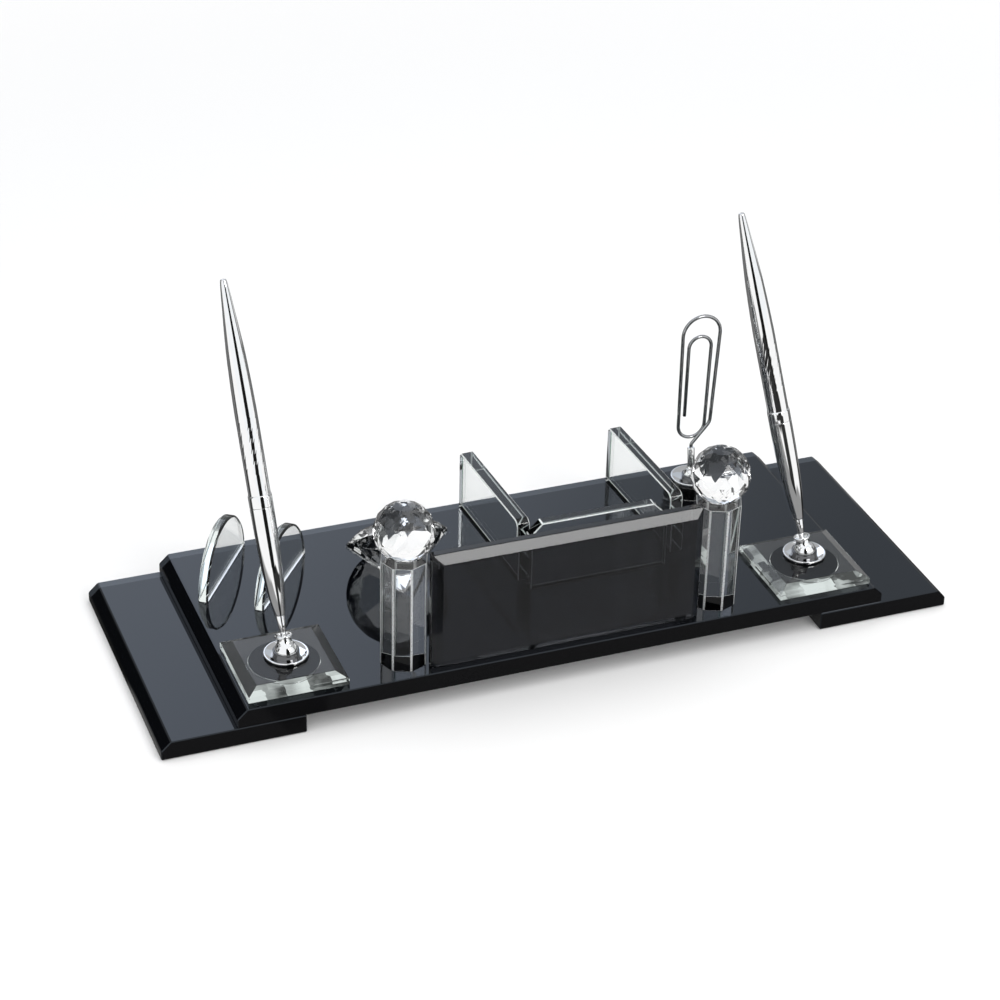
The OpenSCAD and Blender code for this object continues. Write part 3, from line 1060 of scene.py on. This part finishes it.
@dataclass
class SwivelSocket:
    """Saucer and swivel ring of one swivel socket, in millimetres.

    Heights of the saucer's outline count from the glass that it stands on.
    """

    side: str
    rise: float
    ball: float
    below: float
    hub_gap: float = 0.66
    hub_wall: float = 0.6
    hub_floor: float = 0.5
    saucer_foot: tuple[Point, ...] = ((7.7, 0.0), (8.05, 0.32))
    rim_low: Point = (8.2, 0.55)
    rim_low_radius: float = 0.2
    rim_high: Point = (8.12, 1.02)
    rim_high_radius: float = 0.28
    dish: tuple[Point, ...] = ((7.75, 1.28), (7.5, 1.1))
    dish_end: Point = (0.5, 0.42)
    bore_edge: float = 0.36
    seat_gap: float = 0.05
    ring_wall: float = 0.6
    ring_top: float = 0.6
    ring_lift: float = 0.04
    ring_shoulder: tuple[Point, ...] = ((0.0, 0.3), (0.08, 0.5), (0.25, 0.6))

    def build(self, finish: Palette) -> None:
        """Make the saucer and the ring.

        Args:
            finish: The finishes.
        """
        ground = lifted(Matrix.Translation(pivot(self.side + "_turn")), -self.rise)
        turned_piece(
            self.saucer(),
            self.side + "_saucer",
            "base",
            ground,
            finish.chrome,
            SOCKET_SMOOTH,
        )
        turned_piece(
            self.ring(),
            self.side + "_swivel_ring",
            self.side + "_ring",
            lifted(ground, self.rise),
            finish.ring,
            SOCKET_SMOOTH,
        )

    def saucer(self) -> list[Point]:
        """Outline of the saucer with its dished top and sunk hub.

        Returns:
            Radius and height of its corners, in order.
        """
        bore = self.ball + self.hub_gap
        hub = bore + self.hub_wall
        deep = self.below - self.rise + self.hub_floor
        inside = self.hub_floor - deep
        low_rim = arc(self.rim_low, self.rim_low_radius, -80, 0, 4)
        high_rim = arc(self.rim_high, self.rim_high_radius, 0, 100, 6)
        return (
            [(0.0, -deep), (hub, -deep), (hub, 0.0), *self.saucer_foot]
            + low_rim
            + high_rim
            + [*self.dish, (bore + self.dish_end[0], self.dish_end[1])]
            + [(bore, self.bore_edge), (bore, inside), (0.0, inside)]
        )

    def ring(self) -> list[Point]:
        """Outline of the swivel ring with its round seat.

        Returns:
            Radius and height of its corners, in order.
        """
        seat = self.ball + self.seat_gap
        outer = self.ball + self.ring_wall
        foot = self.below - self.ring_lift
        low = math.degrees(math.asin(-foot / seat))
        high = math.degrees(math.asin(self.ring_top / seat))
        return (
            arc((0.0, 0.0), seat, high, low, 16)
            + [(outer, -foot)]
            + [(outer - inward, z) for inward, z in self.ring_shoulder]
        )


@dataclass(frozen=True)
class Twist:
    """Slanting lines engraved round an upper barrel, in millimetres.

    Heights count from the pen's tip. The barrel has a row of points at every
    step of height, and the lines are sunk into them.
    """

    low: float = 69.0
    high: float = 92.0
    count: int = 20
    climb: float = 3.3
    depth: float = 0.05
    narrow: int = 6
    fade: float = 6.0
    skin: float = 3.5
    row_foot: float = 68.5
    row_step: float = 0.5
    row_count: int = 49

    def rows(self, radius: float) -> list[Point]:
        """Give the rows of points that the lines need.

        Args:
            radius: Radius of the barrel.

        Returns:
            Radius and height of each row.
        """
        return [(radius, self.row_foot + self.row_step * k) for k in range(self.row_count)]

    def carve(self, vert: bmesh.types.BMVert) -> None:
        """Sink a point of the barrel that lies in a line.

        Args:
            vert: Point of the barrel in the pen's own frame.
        """
        radius = math.hypot(vert.co.x, vert.co.y) / MM
        z = vert.co.z / MM
        if radius < self.skin or not self.low < z < self.high:
            return
        phase = math.atan2(vert.co.y, vert.co.x) - (z - self.low) / (self.climb * radius)
        wave = max(0.0, math.cos(self.count * phase)) ** self.narrow
        ends = min(1.0, (z - self.low) / self.fade, (self.high - z) / self.fade)
        factor = 1 - self.depth * wave * ends / radius
        vert.co.x *= factor
        vert.co.y *= factor


@dataclass
class PenStation:
    """One pen block's pad, socket, cup and pen, in millimetres.

    Heights of the cup count from the centre of its ball, those of the pen from
    its tip.
    """

    side: str
    rise: float = 1.7
    ball: float = 4.4
    below: float = 3.8
    ball_flat: float = 2.4
    cup_bore: float = 1.35
    tip: float = -1.6
    barrel: float = 15.6
    spigot: Point = (1.2, 20.6)
    radius: float = 4.4
    bore: float = 2.3
    seam_foot: float = 57.0
    seam_top: float = 62.0
    upper_radius: float = 4.12
    end: float = 141.5
    bore_cone: Point = (109.7, 110.9)
    cap: Point = (0.5, 140.75)
    cap_radius: float = 0.75
    twist: Twist = Twist()
    barrel_smooth: float = 20.0
    upper_steps: int = 240

    def build(self, finish: Palette) -> None:
        """Make the station's pieces.

        Args:
            finish: The finishes.
        """
        side, metal = self.side, finish.chrome
        PenBlock(side).build(finish)
        SwivelSocket(side, self.rise, self.ball, self.below).build(finish)
        lean = Vector(joint(side + "_pen_out")["axis"])
        place = leaning(pivot(side + "_turn"), lean)
        turned_piece(self.cup(), side + "_cup", side + "_socket", place, metal)
        tip, pen = lifted(place, self.tip), side + "_pen"
        turned_piece(self.nose(), side + "_pen_nose", pen, tip, metal)
        turned_piece(
            self.lower(), side + "_lower_barrel", pen, tip, metal, self.barrel_smooth
        )
        turned_piece(self.seam(), side + "_seam_ring", pen, tip, metal)
        turned_piece(
            self.upper(),
            side + "_upper_barrel",
            pen,
            tip,
            metal,
            steps=self.upper_steps,
            carve=self.twist.carve,
        )

    def cup(self) -> list[Point]:
        """Outline of the pen cup: ball, flared neck, bead and bore.

        Returns:
            Radius and height of its corners, in order.
        """
        ball = arc((0.0, 0.0), self.ball, -33.05, 44.8, 22)
        neck = eased([(3.12, 3.1), (2.86, 3.6), (2.72, 4.3), (2.7, 5.2)], 5)
        bead = arc((2.87, 5.85), 0.53, -95, 95, 14)
        funnel = [(2.5, 6.38), (2.3, 6.1), (1.45, 4.4), (self.cup_bore, 4.0)]
        floor = [(self.cup_bore, self.tip), (0.0, self.tip)]
        return [(0.0, -self.ball_flat)] + ball + neck + bead + funnel + floor

    def nose(self) -> list[Point]:
        """Outline of the nose cone and its spigot.

        Returns:
            Radius and height of its corners, in order.
        """
        point = [(0.0, 0.0), (0.35, 0.0), (0.75, 1.0), (1.0, 1.6)]
        cone = [(1.12, 8.0), (1.2, 9.0), (1.3, 9.5), (1.75, 15.5)]
        shoulder = [(1.7, self.barrel), (self.spigot[0], self.barrel)]
        return point + cone + shoulder + [self.spigot, (0.0, self.spigot[1])]

    def lower(self) -> list[Point]:
        """Outline of the lower barrel, a taper in shares of the pen's radius.

        Returns:
            Radius and height of its corners, in order.
        """
        taper = (
            (0.49, 15.9),
            (0.6, 19.33),
            (0.7, 23.05),
            (0.79, 27.19),
            (0.86, 31.33),
            (0.92, 36.3),
            (0.96, 42.1),
            (0.99, 49.55),
            (1.0, 56.7),
        )
        skin = eased([(share * self.radius, z) for share, z in taper])
        mouth = [(1.24, self.barrel), (2.02, self.barrel)]
        top = [(self.radius, self.seam_foot), (self.bore, self.seam_foot)]
        return mouth + skin + top + [(self.bore, 22.2), (1.24, 21.2)]

    def seam(self) -> list[Point]:
        """Outline of the seam ring with its groove and rounded top.

        Returns:
            Radius and height of its corners, in order.
        """
        groove = [(4.27, self.seam_foot), (4.27, 57.22), (4.34, 57.27), (4.39, 57.34)]
        land = [(self.radius, 57.5), (self.radius, 60.9)]
        top = [(4.385, 61.3), (4.33, 61.65), (4.22, 61.9), (4.1, self.seam_top)]
        inside = [(self.bore, self.seam_top)]
        return [(self.bore, self.seam_foot)] + groove + land + top + inside

    def upper(self) -> list[Point]:
        """Outline of the upper barrel with its rounded end and blind bore.

        Returns:
            Radius and height of its corners, in order.
        """
        start = self.seam_top
        taper = (
            (0.39, 1.0),
            (0.487, 0.96),
            (0.579, 0.9),
            (0.673, 0.82),
            (0.742, 0.725),
            (0.811, 0.62),
            (0.855, 0.545),
            (0.925, 0.435),
            (0.965, 0.365),
            (0.98, 0.33),
        )
        skin = [
            (self.upper_radius * share, start + (self.end - start) * way)
            for way, share in taper
        ]
        foot = [(self.upper_radius, start)] + self.twist.rows(self.upper_radius)
        cap = arc(self.cap, self.cap_radius, 8, 90, 8) + [(0.0, self.end)]
        bore_foot, bore_top = self.bore_cone
        bore = [(0.0, bore_top), (self.bore, bore_foot), (self.bore, start)]
        return foot + eased(skin, 5) + cap + bore


@dataclass(frozen=True)
class Loop:
    """A half turn of the clip's wire, in millimetres and degrees."""

    centre: Point
    radius: float
    turn: Point
    back: float
    steps: int


@dataclass
class PhotoClip:
    """Socket, ball, tube and wire of the photo clip, in millimetres."""

    rise: float = 1.5
    ball: float = 3.4
    below: float = 2.9
    ball_flat: float = 2.2
    lean: float = -4.0
    tube_foot: float = 3.08
    tube_top: float = 13.0
    peg: Point = (0.75, 4.8)
    tube_bore: float = 0.74
    wire: float = 0.7
    wire_sides: int = 24
    wire_break: float = 0.15
    wire_above: float = 0.4
    wire_foot: float = 5.3
    wire_rise: tuple[Place, ...] = ((0.0, 0.0, 0.0), (0.0, 0.0, 1.2), (7.6, 0.0, 10.2))
    loops: tuple[Loop, ...] = (
        Loop((1.45, 50.95), 8.05, (0.0, 180.0), 0.0, 28),
        Loop((0.38, 9.2), 5.75, (180.0, 360.0), 1.9, 24),
        Loop((2.03, 44.1), 4.85, (0.0, 180.0), 1.9, 24),
    )
    wire_end: Place = (-2.92, 1.9, 13.6)

    def build(self, finish: Palette) -> None:
        """Make the clip's pieces.

        Args:
            finish: The finishes.
        """
        SwivelSocket("clip", self.rise, self.ball, self.below).build(finish)
        tilt = math.radians(self.lean)
        axis = Vector((math.sin(tilt), 0.0, math.cos(tilt)))
        place = leaning(pivot("clip_turn"), axis)
        turned_piece(self.ball_outline(), "clip_ball", "clip", place, finish.chrome)
        turned_piece(self.tube_outline(), "clip_tube", "clip", place, finish.chrome)
        self.build_wire(lifted(place, self.tube_top + self.wire_above), finish)

    def ball_outline(self) -> list[Point]:
        """Outline of the ball and the peg that holds the tube.

        Returns:
            Radius and height of its corners, in order.
        """
        peg, peg_top = self.peg
        ball = arc((0.0, 0.0), self.ball, -40.3, 64.9, 22)
        top = [(peg, self.tube_foot), (peg, peg_top), (0.0, peg_top)]
        return [(0.0, -self.ball_flat)] + ball + top

    def tube_outline(self) -> list[Point]:
        """Outline of the tube with its bead and the bores for peg and wire.

        Returns:
            Radius and height of its corners, in order.
        """
        foot = [(0.79, self.tube_foot), (1.7, self.tube_foot)]
        bead = arc((1.62, 3.3), 0.18, -60, 60, 5)
        neck = [(1.8, 3.7), (1.72, 3.9), (1.5, 4.15), (1.45, 4.4)]
        mouth = [(1.45, 12.5), (1.15, self.tube_top), (self.tube_bore, self.tube_top)]
        inside = [(self.tube_bore, 8.0), (0.0, 8.0), (0.0, 4.9), (0.79, 4.9)]
        return foot + bead + neck + mouth + inside

    def path(self) -> list[Vector]:
        """Give the wire's middle line in the frame of its lowest bend.

        The tube leans, and the wire is bent back upright above it.
        """
        upright = Matrix.Rotation(math.radians(-self.lean), 4, "Y")
        corners = list(self.wire_rise)
        for loop in self.loops:
            half = arc(loop.centre, loop.radius, *loop.turn, loop.steps)
            corners += [(x, loop.back, z) for x, z in half]
        corners.append(self.wire_end)
        points = [upright @ (Vector(corner) * MM) for corner in corners]
        return self.rounded([Vector((0.0, 0.0, -self.wire_foot * MM))] + points)

    @staticmethod
    def rounded(points: list[Vector]) -> list[Vector]:
        """Round the corners of a path.

        Args:
            points: Corners of the path.

        Returns:
            The path with each clear corner drawn as a bend.
        """
        straight, most, share, steps = math.radians(4.0), 1.6 * MM, 0.45, 8
        fine = [points[0]]
        for a, b, c in zip(points, points[1:], points[2:]):
            before, after = a - b, c - b
            if before.angle(-after) < straight:
                fine.append(b)
                continue
            reach = min(most, before.length * share, after.length * share)
            start = b + before.normalized() * reach
            end = b + after.normalized() * reach
            for k in range(steps + 1):
                t = k / steps
                fine.append(
                    start * (1 - t) ** 2 + b * (2 * t * (1 - t)) + end * t * t
                )
        fine.append(points[-1])
        return fine

    def stations(self) -> list[Matrix]:
        """Give a frame at each point of the wire's path, with +Z along it.

        Returns:
            The frames in metres.
        """
        path = self.path()
        across = Vector((0.0, 1.0, 0.0))
        frames: list[Matrix] = []
        for last, point, after in zip(path[:1] + path, path, path[1:] + path[-1:]):
            way = (after - last).normalized()
            across = (across - across.dot(way) * way).normalized()
            turn = Matrix((across, way.cross(across), way)).transposed().to_4x4()
            frames.append(Matrix.Translation(point) @ turn)
        return frames

    def build_wire(self, place: Matrix, finish: Palette) -> None:
        """Bridge rings along the wire's path, close its ends and break them.

        Args:
            place: Frame of the wire's lowest bend.
            finish: The finishes.
        """
        shape = bmesh.new()
        rings: list[list[bmesh.types.BMEdge]] = []
        for station in self.stations():
            made = bmesh.ops.create_circle(
                shape,
                cap_ends=False,
                radius=self.wire * MM,
                segments=self.wire_sides,
                matrix=station,
            )
            rings.append(list({edge for vert in made["verts"] for edge in vert.link_edges}))
        for ring, after in zip(rings, rings[1:]):
            bmesh.ops.bridge_loops(shape, edges=ring + after)
        ends = rings[0] + rings[-1]
        bmesh.ops.edgeloop_fill(shape, edges=ends)
        bmesh.ops.bevel(
            shape,
            geom=ends,
            offset=self.wire_break * MM,
            affect="EDGES",
            segments=2,
            profile=0.5,
            material=-1,
        )
        bmesh.ops.recalc_face_normals(shape, faces=shape.faces)
        bmesh.ops.transform(shape, matrix=place, verts=shape.verts)
        keep_piece(
            shape,
            "clip_wire_look",
            "clip",
            (finish.wire,),
            ("clip_wire",),
            smooth_angle=50.0,
        )


# Studio


@dataclass(frozen=True)
class Card:
    """A flat studio card: a soft light or a dark flag."""

    name: str
    centre: Place
    size: Point
    facing: Place
    level: float
    lights: bool = True
    mirrored: bool = True


@dataclass(frozen=True)
class Fan:
    """A strip of painted shade on the floor, seen only in reflections, that widens towards the
    front.

    It starts at the X of a pen and lies between two sideways slopes and between
    the Y of its two ends.
    """

    start: float
    slopes: Point
    ends: Point


@dataclass(frozen=True)
class Floor:
    """A pale floor with a soft shadow, toned in bands where it is mirrored.

    The bands and strips are painted shade that only reflections see: they stand
    for the shade about the set and the dark things that chrome and glass mirror.
    The bands lie across the view, from the front (-Y) to the back, and levels
    are shares of white. Far from the set the floor fades to plain white.
    """

    half: float = 6.0
    drop: float = 0.2 * MM
    color: Color = (0.735, 0.735, 0.735)
    fade: Point = (0.4, 0.95)
    plain_share: Point = (0.08, 1.0)
    rear_line: Point = (0.045, 0.065)
    rear_level: float = 0.16
    far_line: Point = (0.22, 0.42)
    far_level: float = 0.6
    gap: Point = (-0.03, 0.055)
    gap_level: float = 0.05
    fans: tuple[Fan, Fan] = (
        Fan(0.1, (-0.32, 0.3), (-0.9, -0.17)),
        Fan(-0.105, (-0.2, 0.33), (-0.9, -0.06)),
    )
    fan_root: float = -0.03
    fan_level: float = 0.03
    near_x: Point = (-0.25, 0.25)
    near_y: Point = (-0.2, 0.03)
    near_level: float = 0.3
    line_soft: float = 0.01
    near_soft: float = 0.02
    slope_soft: float = 0.04


@dataclass(frozen=True)
class Backdrop:
    """A bluish backdrop that the plates mirror: brighter at the left."""

    centre: Place = (0.9, 1.9, 1.5)
    size: Point = (3.2, 1.6)
    passage: Point = (0.2, 1.3)
    left: Color = (1.3, 1.4, 1.58)
    right: Color = (0.49, 0.53, 0.58)


@dataclass(frozen=True)
class Tent:
    """The world: white in front, a dark gap low at the side, grey behind."""

    fill: float = 0.55
    color: Color = (0.96, 0.98, 1.0)
    low: Point = (0.35, 0.5)
    rear_line: Point = (0.12, 0.18)
    rear_level: float = 0.42
    gap: Point = (-0.12, 0.14)
    gap_soft: float = 0.02
    gap_level: float = 0.05


@dataclass
class Studio:
    """Floor, cards, world and camera."""

    camera_at: Place = (-0.33773, -0.83588, 0.58843)
    azimuth: float = -21.47
    elevation: float = 31.0
    roll: float = 1.49
    lens: float = 98.59
    sensor: float = 36.0
    sight: float = 50.0
    seen_level: float = 1.03
    band_slope: float = 0.14
    floor: Floor = Floor()
    backdrop: Backdrop = Backdrop()
    tent: Tent = Tent()
    cards: tuple[Card, ...] = (
        Card("top_soft", (0.0, -0.3, 1.7), (2.6, 2.4), (0, 0, -1), 2.4, mirrored=False),
        Card("key_soft", (0.5, -1.35, 0.98), (0.75, 0.6), (-0.3, 0.8, -0.52), 7.0),
        Card(
            "front_flag", (-0.07, -0.66, 0.375), (0.38, 0.75), (0, 1, 0), 0.01, lights=False
        ),
        Card(
            "left_back_flag",
            (-0.75, 1.05, 0.3),
            (1.1, 0.6),
            (0.5, -0.8, 0),
            0.02,
            lights=False,
        ),
    )

    def build(self) -> None:
        """Set the whole studio up."""
        self.build_floor()
        self.build_backdrop()
        for card in self.cards:
            self.build_card(card)
        self.build_world()
        self.build_camera()

    @staticmethod
    def plane(name: str, size: Point, place: Matrix) -> bpy.types.Object:
        """Make a staged rectangle.

        Args:
            name: Name of the object.
            size: Width and height in metres.
            place: Where the rectangle goes.

        Returns:
            The staged object.
        """
        shape = bmesh.new()
        bmesh.ops.create_grid(shape, x_segments=1, y_segments=1, size=0.5)
        bmesh.ops.scale(shape, vec=(size[0], size[1], 1.0), verts=shape.verts)
        bmesh.ops.transform(shape, matrix=place, verts=shape.verts)
        mesh = bpy.data.meshes.new(name)
        shape.to_mesh(mesh)
        shape.free()
        item = bpy.data.objects.new(name, mesh)
        bpy.context.scene.collection.objects.link(item)
        return item

    @staticmethod
    def seen_white(w: Wires) -> Socket:
        """Tell whether a ray comes from the camera or through glass.

        Args:
            w: Wires of the tree.

        Returns:
            Socket that is 1 for those rays.
        """
        path = w.node("ShaderNodeLightPath")
        return w.math(
            "MAXIMUM", path.outputs[Ray.CAMERA.value], path.outputs[Ray.TRANSMISSION.value]
        )

    @staticmethod
    def window(w: Wires, value: Socket, ends: Point, soft: float) -> Socket:
        """Give 1 between two values and 0 outside.

        Args:
            w: Wires of the tree.
            value: Value to test.
            ends: Lower and upper end.
            soft: Width of each soft end.

        Returns:
            The window's socket.
        """
        low, high = ends
        up = w.span(value, (low - soft, low + soft), RISE, True)
        down = w.span(value, (high - soft, high + soft), FALL, True)
        return w.math("MULTIPLY", up, down)

    def across(self, w: Wires, x: Socket, y: Socket) -> Socket:
        """Give the way from front to back as the slanting bands count it.

        Args:
            w: Wires of the tree.
            x: X of the point or direction.
            y: Its Y.

        Returns:
            The way's socket.
        """
        return w.math("ADD", y, w.math("MULTIPLY", x, self.band_slope))

    def strip(self, w: Wires, x: Socket, y: Socket, fan: Fan) -> Socket:
        """Give 1 in a strip of painted shade on the floor.

        Args:
            w: Wires of the tree.
            x: Floor's X.
            y: Floor's Y.
            fan: Place and shape of the strip.

        Returns:
            The strip's socket.
        """
        ahead = w.math("SUBTRACT", self.floor.fan_root, y)
        slope = w.math("DIVIDE", w.math("SUBTRACT", x, fan.start), ahead)
        return w.math(
            "MULTIPLY",
            self.window(w, slope, fan.slopes, self.floor.slope_soft),
            self.window(w, y, fan.ends, self.floor.line_soft),
        )

    def build_floor(self) -> None:
        """Make the floor: white with a soft shadow, and painted shade that only reflections see.
        """
        look = self.floor
        side = look.half * 2
        floor = self.plane("floor", (side, side), Matrix.Translation((0, 0, -look.drop)))
        made, w = material("pale_floor")
        x, y, _ = w.axes()
        matt = w.shader("ShaderNodeBsdfDiffuse", Color=look.color)
        glow = w.shader("ShaderNodeEmission", Strength=self.seen_level)
        away = w.node("ShaderNodeVectorMath", operation="LENGTH")
        w.link(w.coords(), away.inputs[0])
        share = w.span(away.outputs["Value"], look.fade, look.plain_share, True)
        lit = w.mixed(share, matt.outputs["BSDF"], glow.outputs["Emission"])
        # Painted shade: darker bands behind, under and close to the set, and dark strips in
        # front, on the floor as reflections see it.
        across = self.across(w, x, y)
        rear = w.math(
            "MAXIMUM",
            w.span(across, look.rear_line, (1.0, look.rear_level), True),
            w.span(across, look.far_line, (0.0, look.far_level), True),
        )
        gap = self.window(w, across, look.gap, look.line_soft)
        line = w.span(gap, RISE, (1.0, look.gap_level))
        fans = w.math("MAXIMUM", *(self.strip(w, x, y, fan) for fan in look.fans))
        painted_streaks = w.span(fans, RISE, (1.0, look.fan_level))
        close = w.math(
            "MULTIPLY",
            self.window(w, x, look.near_x, look.near_soft),
            self.window(w, y, look.near_y, look.near_soft),
        )
        near = w.span(close, RISE, (1.0, look.near_level))
        tone = w.math("MULTIPLY", rear, line)
        tone = w.math("MULTIPLY", tone, painted_streaks)
        tone = w.math("MULTIPLY", tone, near)
        painted_shade = w.shader("ShaderNodeEmission", Strength=tone)
        # Reflections see the painted shade; the camera and rays through glass see the lit floor.
        path = w.node("ShaderNodeLightPath")
        plain = w.mixed(
            path.outputs[Ray.GLOSSY.value],
            matt.outputs["BSDF"],
            painted_shade.outputs["Emission"],
        )
        w.finish(w.mixed(self.seen_white(w), plain, lit))
        floor.data.materials.append(made)

    def build_backdrop(self) -> None:
        """Make the backdrop, which only shows in mirrors and through glass."""
        look = self.backdrop
        upright = Matrix.Rotation(math.radians(90), 4, "X")
        drop = self.plane("backdrop", look.size, Matrix.Translation(look.centre) @ upright)
        drop.visible_camera = False
        drop.visible_shadow = False
        made, w = material("backdrop_light")
        x, _, _ = w.axes()
        share = w.span(x, look.passage, RISE, True)
        tone = w.blend(share, look.left, look.right)
        glow = w.shader("ShaderNodeEmission", Color=tone, Strength=1.0)
        w.finish(glow.outputs["Emission"])
        drop.data.materials.append(made)

    def build_card(self, card: Card) -> None:
        """Make one studio card that the camera itself doesn't see.

        Args:
            card: The card's place, size and level.
        """
        turn = Vector(card.facing).to_track_quat("Z", "Y").to_matrix().to_4x4()
        item = self.plane(card.name, card.size, Matrix.Translation(card.centre) @ turn)
        item.visible_camera = False
        item.visible_shadow = False
        item.visible_diffuse = card.lights
        item.visible_glossy = card.mirrored
        item.visible_transmission = card.mirrored
        made, w = material(card.name + "_tone")
        glow = w.shader("ShaderNodeEmission", Color=WHITE, Strength=card.level)
        w.finish(glow.outputs["Emission"])
        item.data.materials.append(made)

    def build_world(self) -> None:
        """Make the world: plain white to the camera, a pale tent otherwise."""
        world = bpy.data.worlds.new("studio")
        world.use_nodes = True
        w = Wires(world.node_tree)
        path = w.node("ShaderNodeLightPath")
        fill = w.shader("ShaderNodeBackground", Color=WHITE, Strength=self.tent.fill)
        tent = w.shader(
            "ShaderNodeBackground", Color=self.tent.color, Strength=self.tent_tone(w)
        )
        white = w.shader("ShaderNodeBackground", Color=WHITE, Strength=self.seen_level)
        inner = w.mixed(
            path.outputs[Ray.GLOSSY.value],
            fill.outputs["Background"],
            tent.outputs["Background"],
        )
        w.finish(
            w.mixed(self.seen_white(w), inner, white.outputs["Background"]),
            "ShaderNodeOutputWorld",
        )
        bpy.context.scene.world = world

    def tent_tone(self, w: Wires) -> Socket:
        """Give the tent's level: white in front, dark gaps, grey behind.

        Args:
            w: Wires of the world's tree.

        Returns:
            The level's socket.
        """
        look = self.tent
        split = w.node("ShaderNodeSeparateXYZ")
        w.link(w.node("ShaderNodeTexCoord").outputs["Generated"], split.inputs[0])
        x, y, z = split.outputs["X"], split.outputs["Y"], split.outputs["Z"]
        across = self.across(w, x, y)
        low = w.span(z, look.low, FALL, True)
        rear = w.span(across, look.rear_line, (1.0, look.rear_level), True)
        gap = self.window(w, across, look.gap, look.gap_soft)
        line = w.span(w.math("MULTIPLY", gap, low), RISE, (1.0, look.gap_level))
        return w.math("MULTIPLY", rear, line)

    def build_camera(self) -> None:
        """Place the camera as the photograph was taken."""
        scene = bpy.context.scene
        data = bpy.data.cameras.new("photo_camera")
        data.sensor_width = self.sensor
        data.lens = self.lens
        data.clip_end = self.sight
        camera = bpy.data.objects.new("photo_camera", data)
        scene.collection.objects.link(camera)
        az, el, roll = (
            math.radians(v) for v in (self.azimuth, self.elevation, self.roll)
        )
        back = Vector(
            (
                math.sin(az) * math.cos(el),
                -math.cos(az) * math.cos(el),
                math.sin(el),
            )
        )
        right = Vector((0, 0, 1)).cross(back).normalized()
        up = back.cross(right)
        side = math.cos(roll) * right + math.sin(roll) * up
        top = -math.sin(roll) * right + math.cos(roll) * up
        turn = Matrix((side, top, back)).transposed().to_4x4()
        camera.matrix_world = Matrix.Translation(self.camera_at) @ turn
        scene.camera = camera
        scene.view_settings.view_transform = "Standard"


def main() -> None:
    """Build the set's looks, then the studio round it."""
    logging.basicConfig(level=logging.INFO, format="%(name)s: %(message)s")
    finish = Palette()
    makers = (
        Bases(),
        GlassWork(),
        PenStation("left"),
        PenStation("right"),
        PhotoClip(),
    )
    for maker in makers:
        maker.build(finish)
    Studio().build()


if __name__ == "__main__":
    main()
